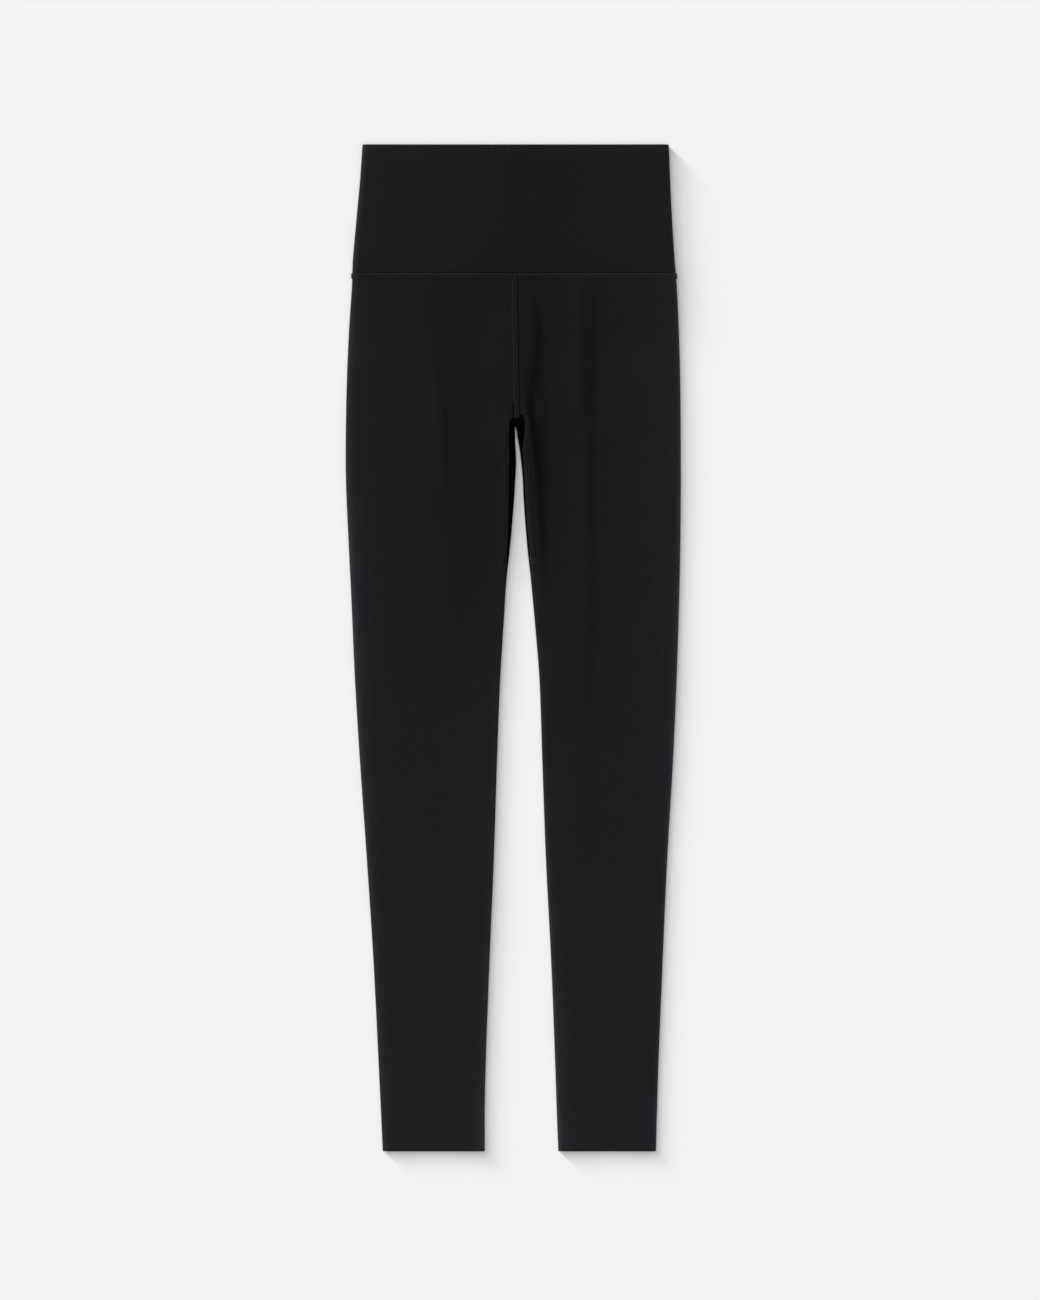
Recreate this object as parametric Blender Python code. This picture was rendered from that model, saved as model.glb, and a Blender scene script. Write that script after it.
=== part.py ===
"""High-waisted full-length leggings, laid flat on their back.

The garment lies on z = 0 with its waist towards +Y and its front up. Every piece is a wall of knitted
cloth: a deep waistband folded double at its top edge, one wrapped panel for each leg, and a diamond gusset
folded round the inner thighs. Lengths in this file are millimetres. "Down" is measured from the waistband's
top edge, and a side is -1 for the leg at -X and 1 for the leg at +X.
"""
import math

import bmesh
import bpy

MM = 0.001

# Driving sizes
LENGTH = 976.0          # top of the waistband to the hems
BAND_HEIGHT = 123.4     # top fold to the waist seam
CLOTH = 1.0             # one layer of cloth
SEAM_GAP = 0.3          # between pieces that are sewn together
INSEAM_TOP = 274.0      # down, the top of the gap between the legs

# Thicknesses of the laid garment
BAND_MIDDLE = 5.0       # four layers of the waistband, away from its sides
BAND_SIDE = 5.6         # the same at its side folds
LEG_MIDDLE = 2.5        # two layers of a leg
LEG_SIDE = 3.6          # the same at the outer fold, under the waist seam
HEM_SIDE = 2.9          # the same at the hem
LEG_INSIDE = 2.7        # two layers at the inner fold
SIDE_FADE = 14.0        # how far in from a fold the extra thickness reaches
STEP_DOWN = 26.0        # how far below the waist seam the front sinks to the thickness of the leg

# Stitched strips, raised a little from the cloth
RIB_RAISE = 0.3
RIB_SLOPE = 0.5         # width of a strip's sloping edge
WAIST_RIB = 5.6         # height of the strip under the waist seam
WAIST_RIB_PROUD = 1.1   # how far that strip stands out at the sides
FRONT_RIB = 4.8         # width of the strip along the centre front seam
FRONT_RIB_END = 262.0   # down, where that strip turns under the crotch

# Outer edges of the laid garment: down, left x, right x
SIDES = (
    (0.0, -146.2, 150.8),
    (35.0, -148.6, 152.1),
    (74.0, -152.2, 154.0),
    (114.0, -155.7, 156.6),
    (136.0, -156.4, 158.4),
    (180.0, -159.3, 160.5),
    (229.0, -161.4, 161.8),
    (277.0, -162.4, 162.3),
    (326.0, -162.3, 162.4),
    (384.0, -159.8, 162.0),
    (442.0, -157.0, 160.8),
    (520.0, -153.5, 158.3),
    (598.0, -148.7, 154.8),
    (695.0, -141.9, 149.1),
    (792.0, -135.6, 144.8),
    (889.0, -130.7, 140.8),
    (937.0, -128.4, 139.3),
    (976.0, -126.6, 138.3),
)

# Inner edges of the legs: down, left x, right x
INSIDES = (
    (INSEAM_TOP, 1.6, 2.4),
    (287.0, 1.9, 4.7),
    (307.0, 2.4, 7.6),
    (326.0, 1.6, 9.2),
    (345.0, 0.5, 10.1),
    (384.0, -2.5, 13.0),
    (423.0, -6.7, 17.1),
    (462.0, -9.2, 20.8),
    (520.0, -12.8, 25.4),
    (598.0, -15.8, 28.1),
    (695.0, -19.0, 31.7),
    (792.0, -23.1, 36.7),
    (889.0, -26.7, 40.5),
    (937.0, -27.7, 42.1),
    (976.0, -27.6, 43.6),
)

# The centre front seam, with the centre back seam under it: down, x
CENTRE = (
    (BAND_HEIGHT, 3.2),
    (190.0, 4.0),
    (250.0, 4.9),
    (266.0, 5.6),
)

# The gusset. On the front its seam runs over the crotch as an arch and down the inner thighs. On the back it
# is a long diamond.
ARCH_TOP = 265.8        # down, the gusset's front corner, at the centre front seam
ARCH_LEFT = -3.8        # x of the arch's feet
ARCH_RIGHT = 10.8
ARCH_STEPS = 4          # cuts in each half of the arch
DIAMOND_TOP = 238.0     # down, the gusset's back corner, at the centre back seam
DIAMOND_REACH = 19.0    # from the inner fold to the diamond's side corners
GUSSET_POINT = 1.6      # the same at its ends
GUSSET_RADIUS = 1.15    # radius of its fold
ROLL = 4.0              # how far in from the gusset the front rolls down to it
RIM = 0.7               # height of the soft rim beside that roll

# How far the gusset shows on the front of each thigh: down, left, right
GUSSET_FRONT = (
    (INSEAM_TOP, 5.4, 8.4),
    (287.0, 5.7, 4.8),
    (297.0, 6.0, 2.9),
    (307.0, 6.2, 1.9),
    (326.0, 5.8, 1.6),
    (345.0, 4.8, 1.6),
    (372.0, 3.4, 1.6),
    (400.0, 1.6, 1.6),
)
GUSSET_END = GUSSET_FRONT[-1][0]

# The long soft creases of each leg's front. A row of a crease: down, x, how deep, half width
CREASES = {
    -1: (
        (
            (130.0, -79.6, 0.4, 6.0),
            (200.0, -73.2, 0.9, 7.0),
            (273.0, -65.4, 1.4, 9.0),
            (336.0, -57.0, 1.3, 12.0),
            (406.0, -49.9, 0.8, 12.0),
            (540.0, -42.0, 0.0, 12.0),
        ),
    ),
    1: (
        (
            (130.0, 20.2, 0.4, 5.0),
            (200.0, 19.9, 1.0, 5.0),
            (250.0, 19.4, 1.6, 5.0),
            (273.0, 18.6, 1.9, 4.5),
            (345.0, 24.2, 1.2, 6.0),
            (405.0, 28.2, 0.7, 7.0),
            (450.0, 31.0, 0.0, 7.0),
        ),
        (
            (128.0, 74.3, 0.5, 6.0),
            (200.0, 74.3, 1.2, 6.5),
            (330.0, 74.3, 1.2, 7.0),
            (480.0, 74.3, 0.8, 8.0),
            (600.0, 74.3, 0.4, 9.0),
            (700.0, 74.3, 0.0, 9.0),
        ),
    ),
}
CREASE_SPREAD = 2.6     # half widths of a crease over which the cloth beside it is lifted

# Finishes: linear colour and roughness
CLOTH_COLOUR = (0.012, 0.012, 0.013, 1.0)
CLOTH_ROUGHNESS = 0.75
GUSSET_COLOUR = (0.006, 0.006, 0.007, 1.0)
GUSSET_ROUGHNESS = 0.9
SHARP_ANGLE = 50.0      # degrees, past which an edge of the cloth is shaded sharp


def along(table, down, column):
    """A column of a table at any distance down, on a smooth curve through its rows."""
    last = len(table) - 1
    row = 0
    while row < last - 1 and down > table[row + 1][0]:
        row += 1

    def slope(index):
        before = table[max(index - 1, 0)]
        after = table[min(index + 1, last)]
        return (after[column] - before[column]) / (after[0] - before[0])

    start, end = table[row], table[row + 1]
    span = end[0] - start[0]
    t = min(max((down - start[0]) / span, 0.0), 1.0)
    ease = t * t * (3 - 2 * t)
    bend = t * (1 - t) * ((1 - t) * slope(row) - t * slope(row + 1)) * span
    return start[column] + (end[column] - start[column]) * ease + bend


def fade(distance, reach):
    """1 at no distance, easing to 0 at the reach."""
    t = min(max(distance / reach, 0.0), 1.0)
    return 1 - t * t * (3 - 2 * t)


def between(start, end, share):
    return start + (end - start) * share


def place(x, down, z):
    """A point of the garment in metres, with the origin under the middle of its length."""
    return (x * MM, (LENGTH / 2 - down) * MM, z * MM)


def outer_x(side, down):
    return along(SIDES, down, 1 if side < 0 else 2)


def inner_x(side, down):
    return along(INSIDES, down, 1 if side < 0 else 2)


def centre_x(down):
    return along(CENTRE, down, 1)


def add_piece(name, mesh, colour, roughness):
    """Turn a closed mesh into a named piece with its own cloth."""
    bmesh.ops.recalc_face_normals(mesh, faces=mesh.faces)
    bmesh.ops.triangulate(mesh, faces=mesh.faces)
    data = bpy.data.meshes.new(name)
    mesh.to_mesh(data)
    mesh.free()
    data.shade_smooth()
    data.set_sharp_from_angle(angle=math.radians(SHARP_ANGLE))
    material = bpy.data.materials.new(name)
    material.use_nodes = True
    shader = material.node_tree.nodes["Principled BSDF"]
    shader.inputs["Base Color"].default_value = colour
    shader.inputs["Roughness"].default_value = roughness
    shader.inputs["Metallic"].default_value = 0.0
    data.materials.append(material)
    piece = bpy.data.objects.new(name, data)
    bpy.context.collection.objects.link(piece)


def sheet_wall(cuts):
    """A closed wall of cloth through its cuts, each a row of (face point, lining point) pairs."""
    mesh = bmesh.new()
    faces = [[mesh.verts.new(face) for face, lining in cut] for cut in cuts]
    linings = [[mesh.verts.new(lining) for face, lining in cut] for cut in cuts]
    last_cut, last_column = len(cuts) - 1, len(cuts[0]) - 1
    for cut in range(last_cut):
        for layer in (faces, linings):
            for column in range(last_column):
                near, far = layer[cut], layer[cut + 1]
                mesh.faces.new((near[column], near[column + 1], far[column + 1], far[column]))
        for column in (0, last_column):
            mesh.faces.new((faces[cut][column], faces[cut + 1][column],
                            linings[cut + 1][column], linings[cut][column]))
    for cut in (0, last_cut):
        for column in range(last_column):
            mesh.faces.new((faces[cut][column], faces[cut][column + 1],
                            linings[cut][column + 1], linings[cut][column]))
    return mesh


def ring_wall(rings):
    """A closed hollow ring of cloth through rings that themselves go round in a ring."""
    mesh = bmesh.new()
    loops = [[mesh.verts.new(corner) for corner in ring] for ring in rings]
    for index, loop in enumerate(loops):
        following = loops[(index + 1) % len(loops)]
        for corner in range(len(loop)):
            beside = (corner + 1) % len(loop)
            mesh.faces.new((loop[corner], loop[beside], following[beside], following[corner]))
    return mesh


# --- Waistband -----------------------------------------------------------------------------------------
# One strip folded double along the garment's top edge, with both its raw edges at the waist seam. Laid
# flat it is four layers. Each ring goes once round the waist, a set distance in from the band's outer face.

BAND_COLUMNS = (0.0, 4.0, 9.0, SIDE_FADE)   # from each side fold
BAND_ROWS = (35.0, 74.0, BAND_HEIGHT)
BAND_FOLD_STEPS = 6
TOP_FOLD_STEPS = 6
TOP_FOLD_INNER_STEPS = 2
TOP_FOLD = CLOTH + SEAM_GAP / 2             # radius of the fold along the top edge


def band_ring(inset, down):
    radius = BAND_SIDE / 2
    left = outer_x(-1, down) + radius
    right = outer_x(1, down) - radius
    columns = [left + step for step in BAND_COLUMNS] + [right - step for step in reversed(BAND_COLUMNS)]
    ring = []
    for x in columns:
        swell = (BAND_SIDE - BAND_MIDDLE) * fade(min(x - left, right - x), SIDE_FADE)
        ring.append(place(x, down, BAND_MIDDLE + swell - inset))
    for step in range(1, BAND_FOLD_STEPS):
        turn = math.pi * step / BAND_FOLD_STEPS
        x = right + (radius - inset) * math.sin(turn)
        ring.append(place(x, down, radius + (radius - inset) * math.cos(turn)))
    for x in reversed(columns):
        ring.append(place(x, down, inset))
    for step in range(1, BAND_FOLD_STEPS):
        turn = math.pi * step / BAND_FOLD_STEPS
        x = left - (radius - inset) * math.sin(turn)
        ring.append(place(x, down, radius - (radius - inset) * math.cos(turn)))
    return ring


def top_fold(radius, steps):
    """The rings of the band's top fold, as (inset, down), from its outer to its inner side."""
    turns = [math.pi * step / steps for step in range(steps + 1)]
    return [(TOP_FOLD - radius * math.cos(turn), TOP_FOLD - radius * math.sin(turn)) for turn in turns]


band_profile = [(0.0, down) for down in reversed(BAND_ROWS)]
band_profile += top_fold(TOP_FOLD, TOP_FOLD_STEPS)
band_profile += [(2 * TOP_FOLD, down) for down in BAND_ROWS]
band_profile += [(CLOTH + SEAM_GAP, down) for down in reversed(BAND_ROWS)]
band_profile += reversed(top_fold(SEAM_GAP / 2, TOP_FOLD_INNER_STEPS))
band_profile += [(CLOTH, down) for down in BAND_ROWS]


# --- Leg panels ----------------------------------------------------------------------------------------
# One panel a leg. Each cut goes across the leg: it starts at the front edge, crosses the front, turns round
# the outer fold and comes back along the floor to the back edge. Above the crotch those edges lie at the
# centre seams, beside the gusset they follow its seams, and below it they meet at the inseam, in the inner
# fold.

SEAM_TOP = BAND_HEIGHT + SEAM_GAP
ARCH_GAP = ARCH_TOP - SEAM_GAP
INSEAM_START = GUSSET_END + 1.5
LEG_CUTS = (
    [SEAM_TOP, SEAM_TOP + RIB_SLOPE, SEAM_TOP + WAIST_RIB - RIB_SLOPE, SEAM_TOP + WAIST_RIB]
    + [136.0, 148.0, 170.0, 200.0, DIAMOND_TOP - SEAM_GAP, 256.0, FRONT_RIB_END]
    + [between(INSEAM_TOP, ARCH_GAP, math.cos(math.pi / 2 * step / ARCH_STEPS)) for step in range(ARCH_STEPS)]
    + [row[0] for row in GUSSET_FRONT]
    + [INSEAM_START, 440.0, 500.0, 570.0, 650.0, 740.0, 850.0, 930.0, LENGTH]
)
OPEN_COLUMNS = (0.0, 0.8, 1.7, 2.8, 4.2, 5.9, 8.0)      # from a free edge of the front
RIB_COLUMNS = (0.0, RIB_SLOPE, 1.6, 2.6, 3.6, FRONT_RIB - RIB_SLOPE, FRONT_RIB)
CLOSED_COLUMNS = (0.0, 1.5, 3.2, 5.4)                   # from the inner fold
OUTER_COLUMNS = (9.0, 4.5, 1.8, 0.0)                    # from the outer fold
INNER_FOLD_STEPS = len(OPEN_COLUMNS) - len(CLOSED_COLUMNS)
OUTER_FOLD_STEPS = 6
FRONT_STEPS = 15
FRONT_SPREAD = 1.25                                     # above 1, the front's columns crowd to its inner edge
BACK_STEPS = 6
BACK_COLUMN = 1.0                                       # spacing beside a free edge of the back


def arch_foot(side):
    return ARCH_LEFT if side < 0 else ARCH_RIGHT


def arch_x(side, share):
    """x of the arch where it has come a share of the way down from its top."""
    return between(centre_x(ARCH_TOP), arch_foot(side), math.sqrt(1 - (1 - share) ** 2))


def diamond_x(side, down):
    """x of the gusset's seams on the back."""
    corner = inner_x(side, INSEAM_TOP) + side * DIAMOND_REACH
    if down < INSEAM_TOP:
        return between(centre_x(DIAMOND_TOP), corner, (down - DIAMOND_TOP) / (INSEAM_TOP - DIAMOND_TOP))
    share = (down - INSEAM_TOP) / (GUSSET_END - INSEAM_TOP)
    return inner_x(side, down) + side * between(DIAMOND_REACH, GUSSET_POINT, share)


def front_edge(side, down):
    if down < ARCH_GAP - SEAM_GAP:
        return centre_x(down) + side * SEAM_GAP / 2
    if down < INSEAM_TOP:
        share = max(down - ARCH_GAP, 0.0) / (INSEAM_TOP - ARCH_GAP)
        return arch_x(side, share) + side * between(SEAM_GAP / 2, SEAM_GAP, share)
    return inner_x(side, down) + side * (along(GUSSET_FRONT, down, 1 if side < 0 else 2) + SEAM_GAP)


def back_edge(side, down):
    if down < DIAMOND_TOP:
        return centre_x(down) + side * SEAM_GAP / 2
    return diamond_x(side, down) + side * SEAM_GAP


def to_gusset(side, down, x):
    """How far a point of the front lies from the gusset's seam."""
    if down > GUSSET_END:
        return math.inf
    if down >= INSEAM_TOP:
        return abs(x - front_edge(side, down))
    foot = arch_foot(1 if x > centre_x(ARCH_TOP) else -1)
    across = (x - centre_x(ARCH_TOP)) / (foot - centre_x(ARCH_TOP))
    up = (INSEAM_TOP - down) / (INSEAM_TOP - ARCH_TOP)
    return max(math.hypot(across, up) - 1, 0.0) * (INSEAM_TOP - ARCH_TOP)


def crease_height(side, down, x):
    """The creases lie between lifted cloth, so their bottoms stay at the height of the flat front."""
    height = 0.0
    for crease in CREASES[side]:
        if crease[0][0] < down < crease[-1][0]:
            deep = max(along(crease, down, 2), 0.0)
            away = (x - along(crease, down, 1)) / along(crease, down, 3)
            height += deep * (math.exp(-((away / CREASE_SPREAD) ** 2)) - math.exp(-(away**2)))
    return height


def on_rib(distance, width):
    """1 on a stitched strip, and 0 off it."""
    return 1 if RIB_SLOPE / 2 < distance < width - RIB_SLOPE / 2 else 0


def fold_radius(down):
    """Radius of the outer fold."""
    below = down - SEAM_TOP
    level = between(LEG_SIDE, HEM_SIDE, below / (LENGTH - SEAM_TOP))
    level += (BAND_SIDE - level) * fade(below, 2 * STEP_DOWN)
    return (level + RIB_RAISE * on_rib(below, WAIST_RIB)) / 2


def front_height(side, down, x):
    """Height of the front's face above the floor."""
    below = down - SEAM_TOP
    radius = fold_radius(down)
    flat = LEG_MIDDLE + (BAND_MIDDLE - LEG_MIDDLE) * fade(below, STEP_DOWN)
    rib = on_rib(below, WAIST_RIB)
    if side < 0 and RIB_SLOPE / 2 < below and down <= FRONT_RIB_END:
        rib = max(rib, on_rib(abs(x - front_edge(side, down)), FRONT_RIB))
    height = flat + crease_height(side, down, x)
    rim = RIM * fade(down - INSEAM_TOP, GUSSET_END - INSEAM_TOP)
    height += rim * fade(abs(to_gusset(side, down, x) - ROLL), ROLL)
    height += (2 * radius - flat) * fade(abs(outer_x(side, down) - x) - radius, SIDE_FADE)
    if down > GUSSET_END:
        height += (LEG_INSIDE - flat) * fade(abs(x - inner_x(side, down)) - LEG_INSIDE / 2, SIDE_FADE)
    seam = 2 * CLOTH + 2 * SEAM_GAP
    height += (seam - height) * fade(to_gusset(side, down, x), ROLL)
    return height + RIB_RAISE * rib


def inner_fold_pairs(side, down):
    """(x, height above the fold's middle) of the face and the lining, from the inseam to the flat front."""
    middle = inner_x(side, down) + side * LEG_INSIDE / 2
    pairs = []
    for step in range(INNER_FOLD_STEPS):
        pair = []
        for radius in (LEG_INSIDE / 2, LEG_INSIDE / 2 - CLOTH):
            turn = between(math.asin(SEAM_GAP / 2 / radius), math.pi / 2, step / INNER_FOLD_STEPS)
            pair.append((middle - side * radius * math.cos(turn), radius * math.sin(turn)))
        pairs.append(pair)
    return pairs


def leg_cut(side, down):
    """Matching points of the panel's face and lining across one leg."""
    closed = down > GUSSET_END
    radius = fold_radius(down)
    proud = WAIST_RIB_PROUD * on_rib(down - SEAM_TOP, WAIST_RIB)
    fold_x = outer_x(side, down) + side * (proud - radius)
    pairs = []

    if closed:
        start = inner_x(side, down) + side * LEG_INSIDE / 2
        columns = CLOSED_COLUMNS
        for (x, up), (lining_x, lining_up) in inner_fold_pairs(side, down):
            pairs.append(((x, LEG_INSIDE / 2 + up), (lining_x, LEG_INSIDE / 2 + lining_up)))
    else:
        start = front_edge(side, down)
        columns = RIB_COLUMNS if side < 0 and down < ARCH_TOP else OPEN_COLUMNS
    front = [start + side * step for step in columns]
    last = fold_x - side * OUTER_COLUMNS[0]
    shares = [(step / FRONT_STEPS) ** FRONT_SPREAD for step in range(1, FRONT_STEPS)]
    front += [between(front[-1], last, share) for share in shares]
    front += [fold_x - side * step for step in OUTER_COLUMNS]
    for x in front:
        height = front_height(side, down, x)
        pairs.append(((x, height), (x, height - CLOTH)))

    for step in range(1, OUTER_FOLD_STEPS):
        turn = math.pi * step / OUTER_FOLD_STEPS
        face, lining = [
            (fold_x + side * reach * math.sin(turn), radius + reach * math.cos(turn))
            for reach in (radius, radius - CLOTH)
        ]
        pairs.append((face, lining))

    if closed:
        end = inner_x(side, down) + side * LEG_INSIDE / 2
    else:
        end = back_edge(side, down) + side * BACK_COLUMN * INNER_FOLD_STEPS
    for step in range(BACK_STEPS + 1):
        x = between(fold_x, end, step / BACK_STEPS)
        pairs.append(((x, 0.0), (x, CLOTH)))
    if closed:
        for (x, up), (lining_x, lining_up) in reversed(inner_fold_pairs(side, down)):
            pairs.append(((x, LEG_INSIDE / 2 - up), (lining_x, LEG_INSIDE / 2 - lining_up)))
    else:
        for step in reversed(range(INNER_FOLD_STEPS)):
            x = back_edge(side, down) + side * BACK_COLUMN * step
            pairs.append(((x, 0.0), (x, CLOTH)))
    return [(place(x, down, z), place(lining_x, down, lining_z)) for (x, z), (lining_x, lining_z) in pairs]


# --- Gusset --------------------------------------------------------------------------------------------
# A diamond folded lengthwise round the edge of both thighs and over the crotch. Each cut starts at the front
# seam, turns round the fold at the gap between the legs, and comes back along the floor to the back seam.

GUSSET_FOLD_STEPS = 5
GUSSET_FLAT_STEPS = 2


def gusset_cut(fold, front, back):
    """Matching face and lining points of one cut. Its fold and its seams are given as (x, down)."""
    across, up = front[0] - fold[0], front[1] - fold[1]
    length = math.hypot(across, up)
    inward = (across / length, up / length)
    middle = (fold[0] + inward[0] * GUSSET_RADIUS, fold[1] + inward[1] * GUSSET_RADIUS)
    pairs = []

    def flat(start, end, face_z, lining_z):
        for step in range(GUSSET_FLAT_STEPS):
            share = step / GUSSET_FLAT_STEPS
            x, down = between(start[0], end[0], share), between(start[1], end[1], share)
            pairs.append((place(x, down, face_z), place(x, down, lining_z)))

    flat(front, middle, 2 * GUSSET_RADIUS, 2 * GUSSET_RADIUS - CLOTH)
    for step in range(GUSSET_FOLD_STEPS + 1):
        turn = math.pi * step / GUSSET_FOLD_STEPS
        pair = []
        for radius in (GUSSET_RADIUS, GUSSET_RADIUS - CLOTH):
            out = radius * math.sin(turn)
            x, down = middle[0] - inward[0] * out, middle[1] - inward[1] * out
            pair.append(place(x, down, GUSSET_RADIUS + radius * math.cos(turn)))
        pairs.append(tuple(pair))
    back_pairs = len(pairs)
    flat(back, middle, 0.0, CLOTH)
    pairs[back_pairs:] = pairs[back_pairs:][::-1]
    return pairs


def thigh_cut(side, row):
    down = min(row[0], GUSSET_END - SEAM_GAP)
    fold = inner_x(side, down)
    front = fold + side * along(GUSSET_FRONT, down, 1 if side < 0 else 2)
    return gusset_cut((fold, down), (front, down), (diamond_x(side, down), down))


def crotch_cut(side, step):
    """A cut that fans out from the top of the gap, a number of steps from the centre."""
    turn = math.pi / 2 * step / ARCH_STEPS
    left, right = inner_x(-1, INSEAM_TOP), inner_x(1, INSEAM_TOP)
    tip = (right - left) / 2
    fold = ((left + right) / 2 + side * tip * math.sin(turn), INSEAM_TOP - tip * math.cos(turn))
    down = between(INSEAM_TOP, ARCH_TOP, math.cos(turn))
    front = (arch_x(side, (down - ARCH_TOP) / (INSEAM_TOP - ARCH_TOP)), down)
    back_down = between(DIAMOND_TOP, INSEAM_TOP, step / ARCH_STEPS)
    return gusset_cut(fold, front, (diamond_x(side, back_down), back_down))


for stale in list(bpy.data.objects):
    bpy.data.objects.remove(stale)

band_rings = [band_ring(inset, down) for inset, down in band_profile]
add_piece("waistband", ring_wall(band_rings), CLOTH_COLOUR, CLOTH_ROUGHNESS)
for name, side in (("leg_left", -1), ("leg_right", 1)):
    leg_cuts = [leg_cut(side, down) for down in LEG_CUTS]
    add_piece(name, sheet_wall(leg_cuts), CLOTH_COLOUR, CLOTH_ROUGHNESS)
gusset_cuts = [thigh_cut(-1, row) for row in reversed(GUSSET_FRONT[1:])]
gusset_cuts += [crotch_cut(-1, step) for step in range(ARCH_STEPS, 0, -1)]
gusset_cuts += [crotch_cut(1, step) for step in range(ARCH_STEPS + 1)]
gusset_cuts += [thigh_cut(1, row) for row in GUSSET_FRONT[1:]]
add_piece("gusset", sheet_wall(gusset_cuts), GUSSET_COLOUR, GUSSET_ROUGHNESS)
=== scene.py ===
"""High-waisted leggings in black stretch knit, laid flat on their back.

Lengths are millimetres unless a name or a comment says otherwise. "Down" is measured from the top edge of
the waistband towards the hems, z upwards from the surface, and a side is -1 for the leg at -X and 1 for
the leg at +X.
"""
import math

import bmesh
import bpy
import numpy
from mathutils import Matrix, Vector, noise


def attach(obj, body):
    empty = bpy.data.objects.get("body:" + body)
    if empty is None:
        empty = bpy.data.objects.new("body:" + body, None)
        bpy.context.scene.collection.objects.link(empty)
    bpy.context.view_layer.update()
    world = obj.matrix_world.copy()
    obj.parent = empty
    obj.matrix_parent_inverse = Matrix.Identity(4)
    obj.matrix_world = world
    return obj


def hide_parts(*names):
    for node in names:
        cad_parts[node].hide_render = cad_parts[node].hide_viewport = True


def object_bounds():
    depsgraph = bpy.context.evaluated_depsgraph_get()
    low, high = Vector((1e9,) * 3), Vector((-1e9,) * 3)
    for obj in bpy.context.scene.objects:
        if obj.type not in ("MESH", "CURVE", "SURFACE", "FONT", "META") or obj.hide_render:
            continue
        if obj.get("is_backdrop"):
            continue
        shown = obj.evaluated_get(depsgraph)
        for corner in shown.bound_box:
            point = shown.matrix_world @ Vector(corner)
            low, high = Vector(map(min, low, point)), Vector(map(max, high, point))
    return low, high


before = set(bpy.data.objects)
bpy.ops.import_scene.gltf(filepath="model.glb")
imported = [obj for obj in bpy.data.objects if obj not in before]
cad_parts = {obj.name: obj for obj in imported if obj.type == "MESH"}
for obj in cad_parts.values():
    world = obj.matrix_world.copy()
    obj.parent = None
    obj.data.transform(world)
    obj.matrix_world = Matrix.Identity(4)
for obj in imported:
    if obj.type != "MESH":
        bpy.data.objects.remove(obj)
cad_low, cad_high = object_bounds()


# --- Floor, light and camera ---------------------------------------------------------------------------
# A plain pale floor lies just under the garment. Three low lights rake over the cloth from the upper left
# and bring out its creases, a broad one shines from overhead, and an even pale sky fills the shadows. The
# camera looks straight down.

MM = 0.001
FLOOR_SIZE_M = 40.0
FLOOR_DROP = 0.3            # below the garment
FLOOR_COLOUR = (0.86, 0.86, 0.86, 1.0)
SKY_COLOUR = (1.0, 1.0, 1.0, 1.0)
SKY_STRENGTH = 0.33
# Each lamp: the side that its light comes from, anticlockwise from +X, its height above the floor and
# its breadth, all in degrees, and its strength
LAMPS = (
    ("lowest_light", 135.0, 6.0, 8.0, 4.02),
    ("low_light", 135.0, 13.0, 14.0, 2.45),
    ("side_light", 135.0, 27.0, 30.0, 0.97),
    ("top_light", 0.0, 90.0, 60.0, 0.83),
)
VIEW_MIDDLE = (6.5, -2.0)
VIEW_LENGTH = 1261.0        # of the floor in view, from top to bottom
VIEW_DEPTH_M = 100.0        # how far the camera sees
LENS = 100.0
SENSOR = 36.0


def add_object(name, data):
    thing = bpy.data.objects.new(name, data)
    bpy.context.scene.collection.objects.link(thing)
    return thing


def new_material(name, specular):
    """A new material and its shader, with the strength of its mirror light."""
    material = bpy.data.materials.new(name)
    material.use_nodes = True
    shader = material.node_tree.nodes["Principled BSDF"]
    shader.inputs["Specular IOR Level"].default_value = specular
    return material, shader


def mesh_data(name, mesh, material):
    """A bmesh made into the mesh of an object, with its material."""
    data = bpy.data.meshes.new(name)
    mesh.to_mesh(data)
    mesh.free()
    data.materials.append(material)
    return data


def add_sun(name, turn, height, spread, strength):
    light = bpy.data.lights.new(name, "SUN")
    light.energy = strength
    light.angle = math.radians(spread)
    lamp = add_object(name, light)
    lamp.rotation_euler = (math.radians(90.0 - height), 0.0, math.radians(turn + 90.0))


def make_floor():
    material, shader = new_material("pale_floor", specular=0.0)
    shader.inputs["Base Color"].default_value = FLOOR_COLOUR
    shader.inputs["Roughness"].default_value = 1.0
    mesh = bmesh.new()
    bmesh.ops.create_grid(mesh, x_segments=1, y_segments=1, size=FLOOR_SIZE_M / 2)
    bmesh.ops.translate(mesh, verts=mesh.verts, vec=(0.0, 0.0, -FLOOR_DROP * MM))
    return add_object("floor", mesh_data("floor", mesh, material))


make_floor()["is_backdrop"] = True
for lamp in LAMPS:
    add_sun(*lamp)
world = bpy.data.worlds.new("studio")
world.use_nodes = True
sky = world.node_tree.nodes["Background"]
sky.inputs["Color"].default_value = SKY_COLOUR
sky.inputs["Strength"].default_value = SKY_STRENGTH
bpy.context.scene.world = world
bpy.context.scene.view_settings.view_transform = "Standard"

camera_data = bpy.data.cameras.new("camera")
camera_data.lens = LENS
camera_data.sensor_width = SENSOR
camera_data.clip_end = VIEW_DEPTH_M
camera = add_object("camera", camera_data)
view_distance = VIEW_LENGTH * LENS / SENSOR
camera.location = (VIEW_MIDDLE[0] * MM, VIEW_MIDDLE[1] * MM, view_distance * MM)
bpy.context.scene.camera = camera


# --- Waistband -----------------------------------------------------------------------------------------
# One deep strip of knit, folded double along the top edge and closed into a loop, so that it lies in four
# layers. Both its raw edges are caught in the waist seam, where its outer layer rolls down into the seam.

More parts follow.
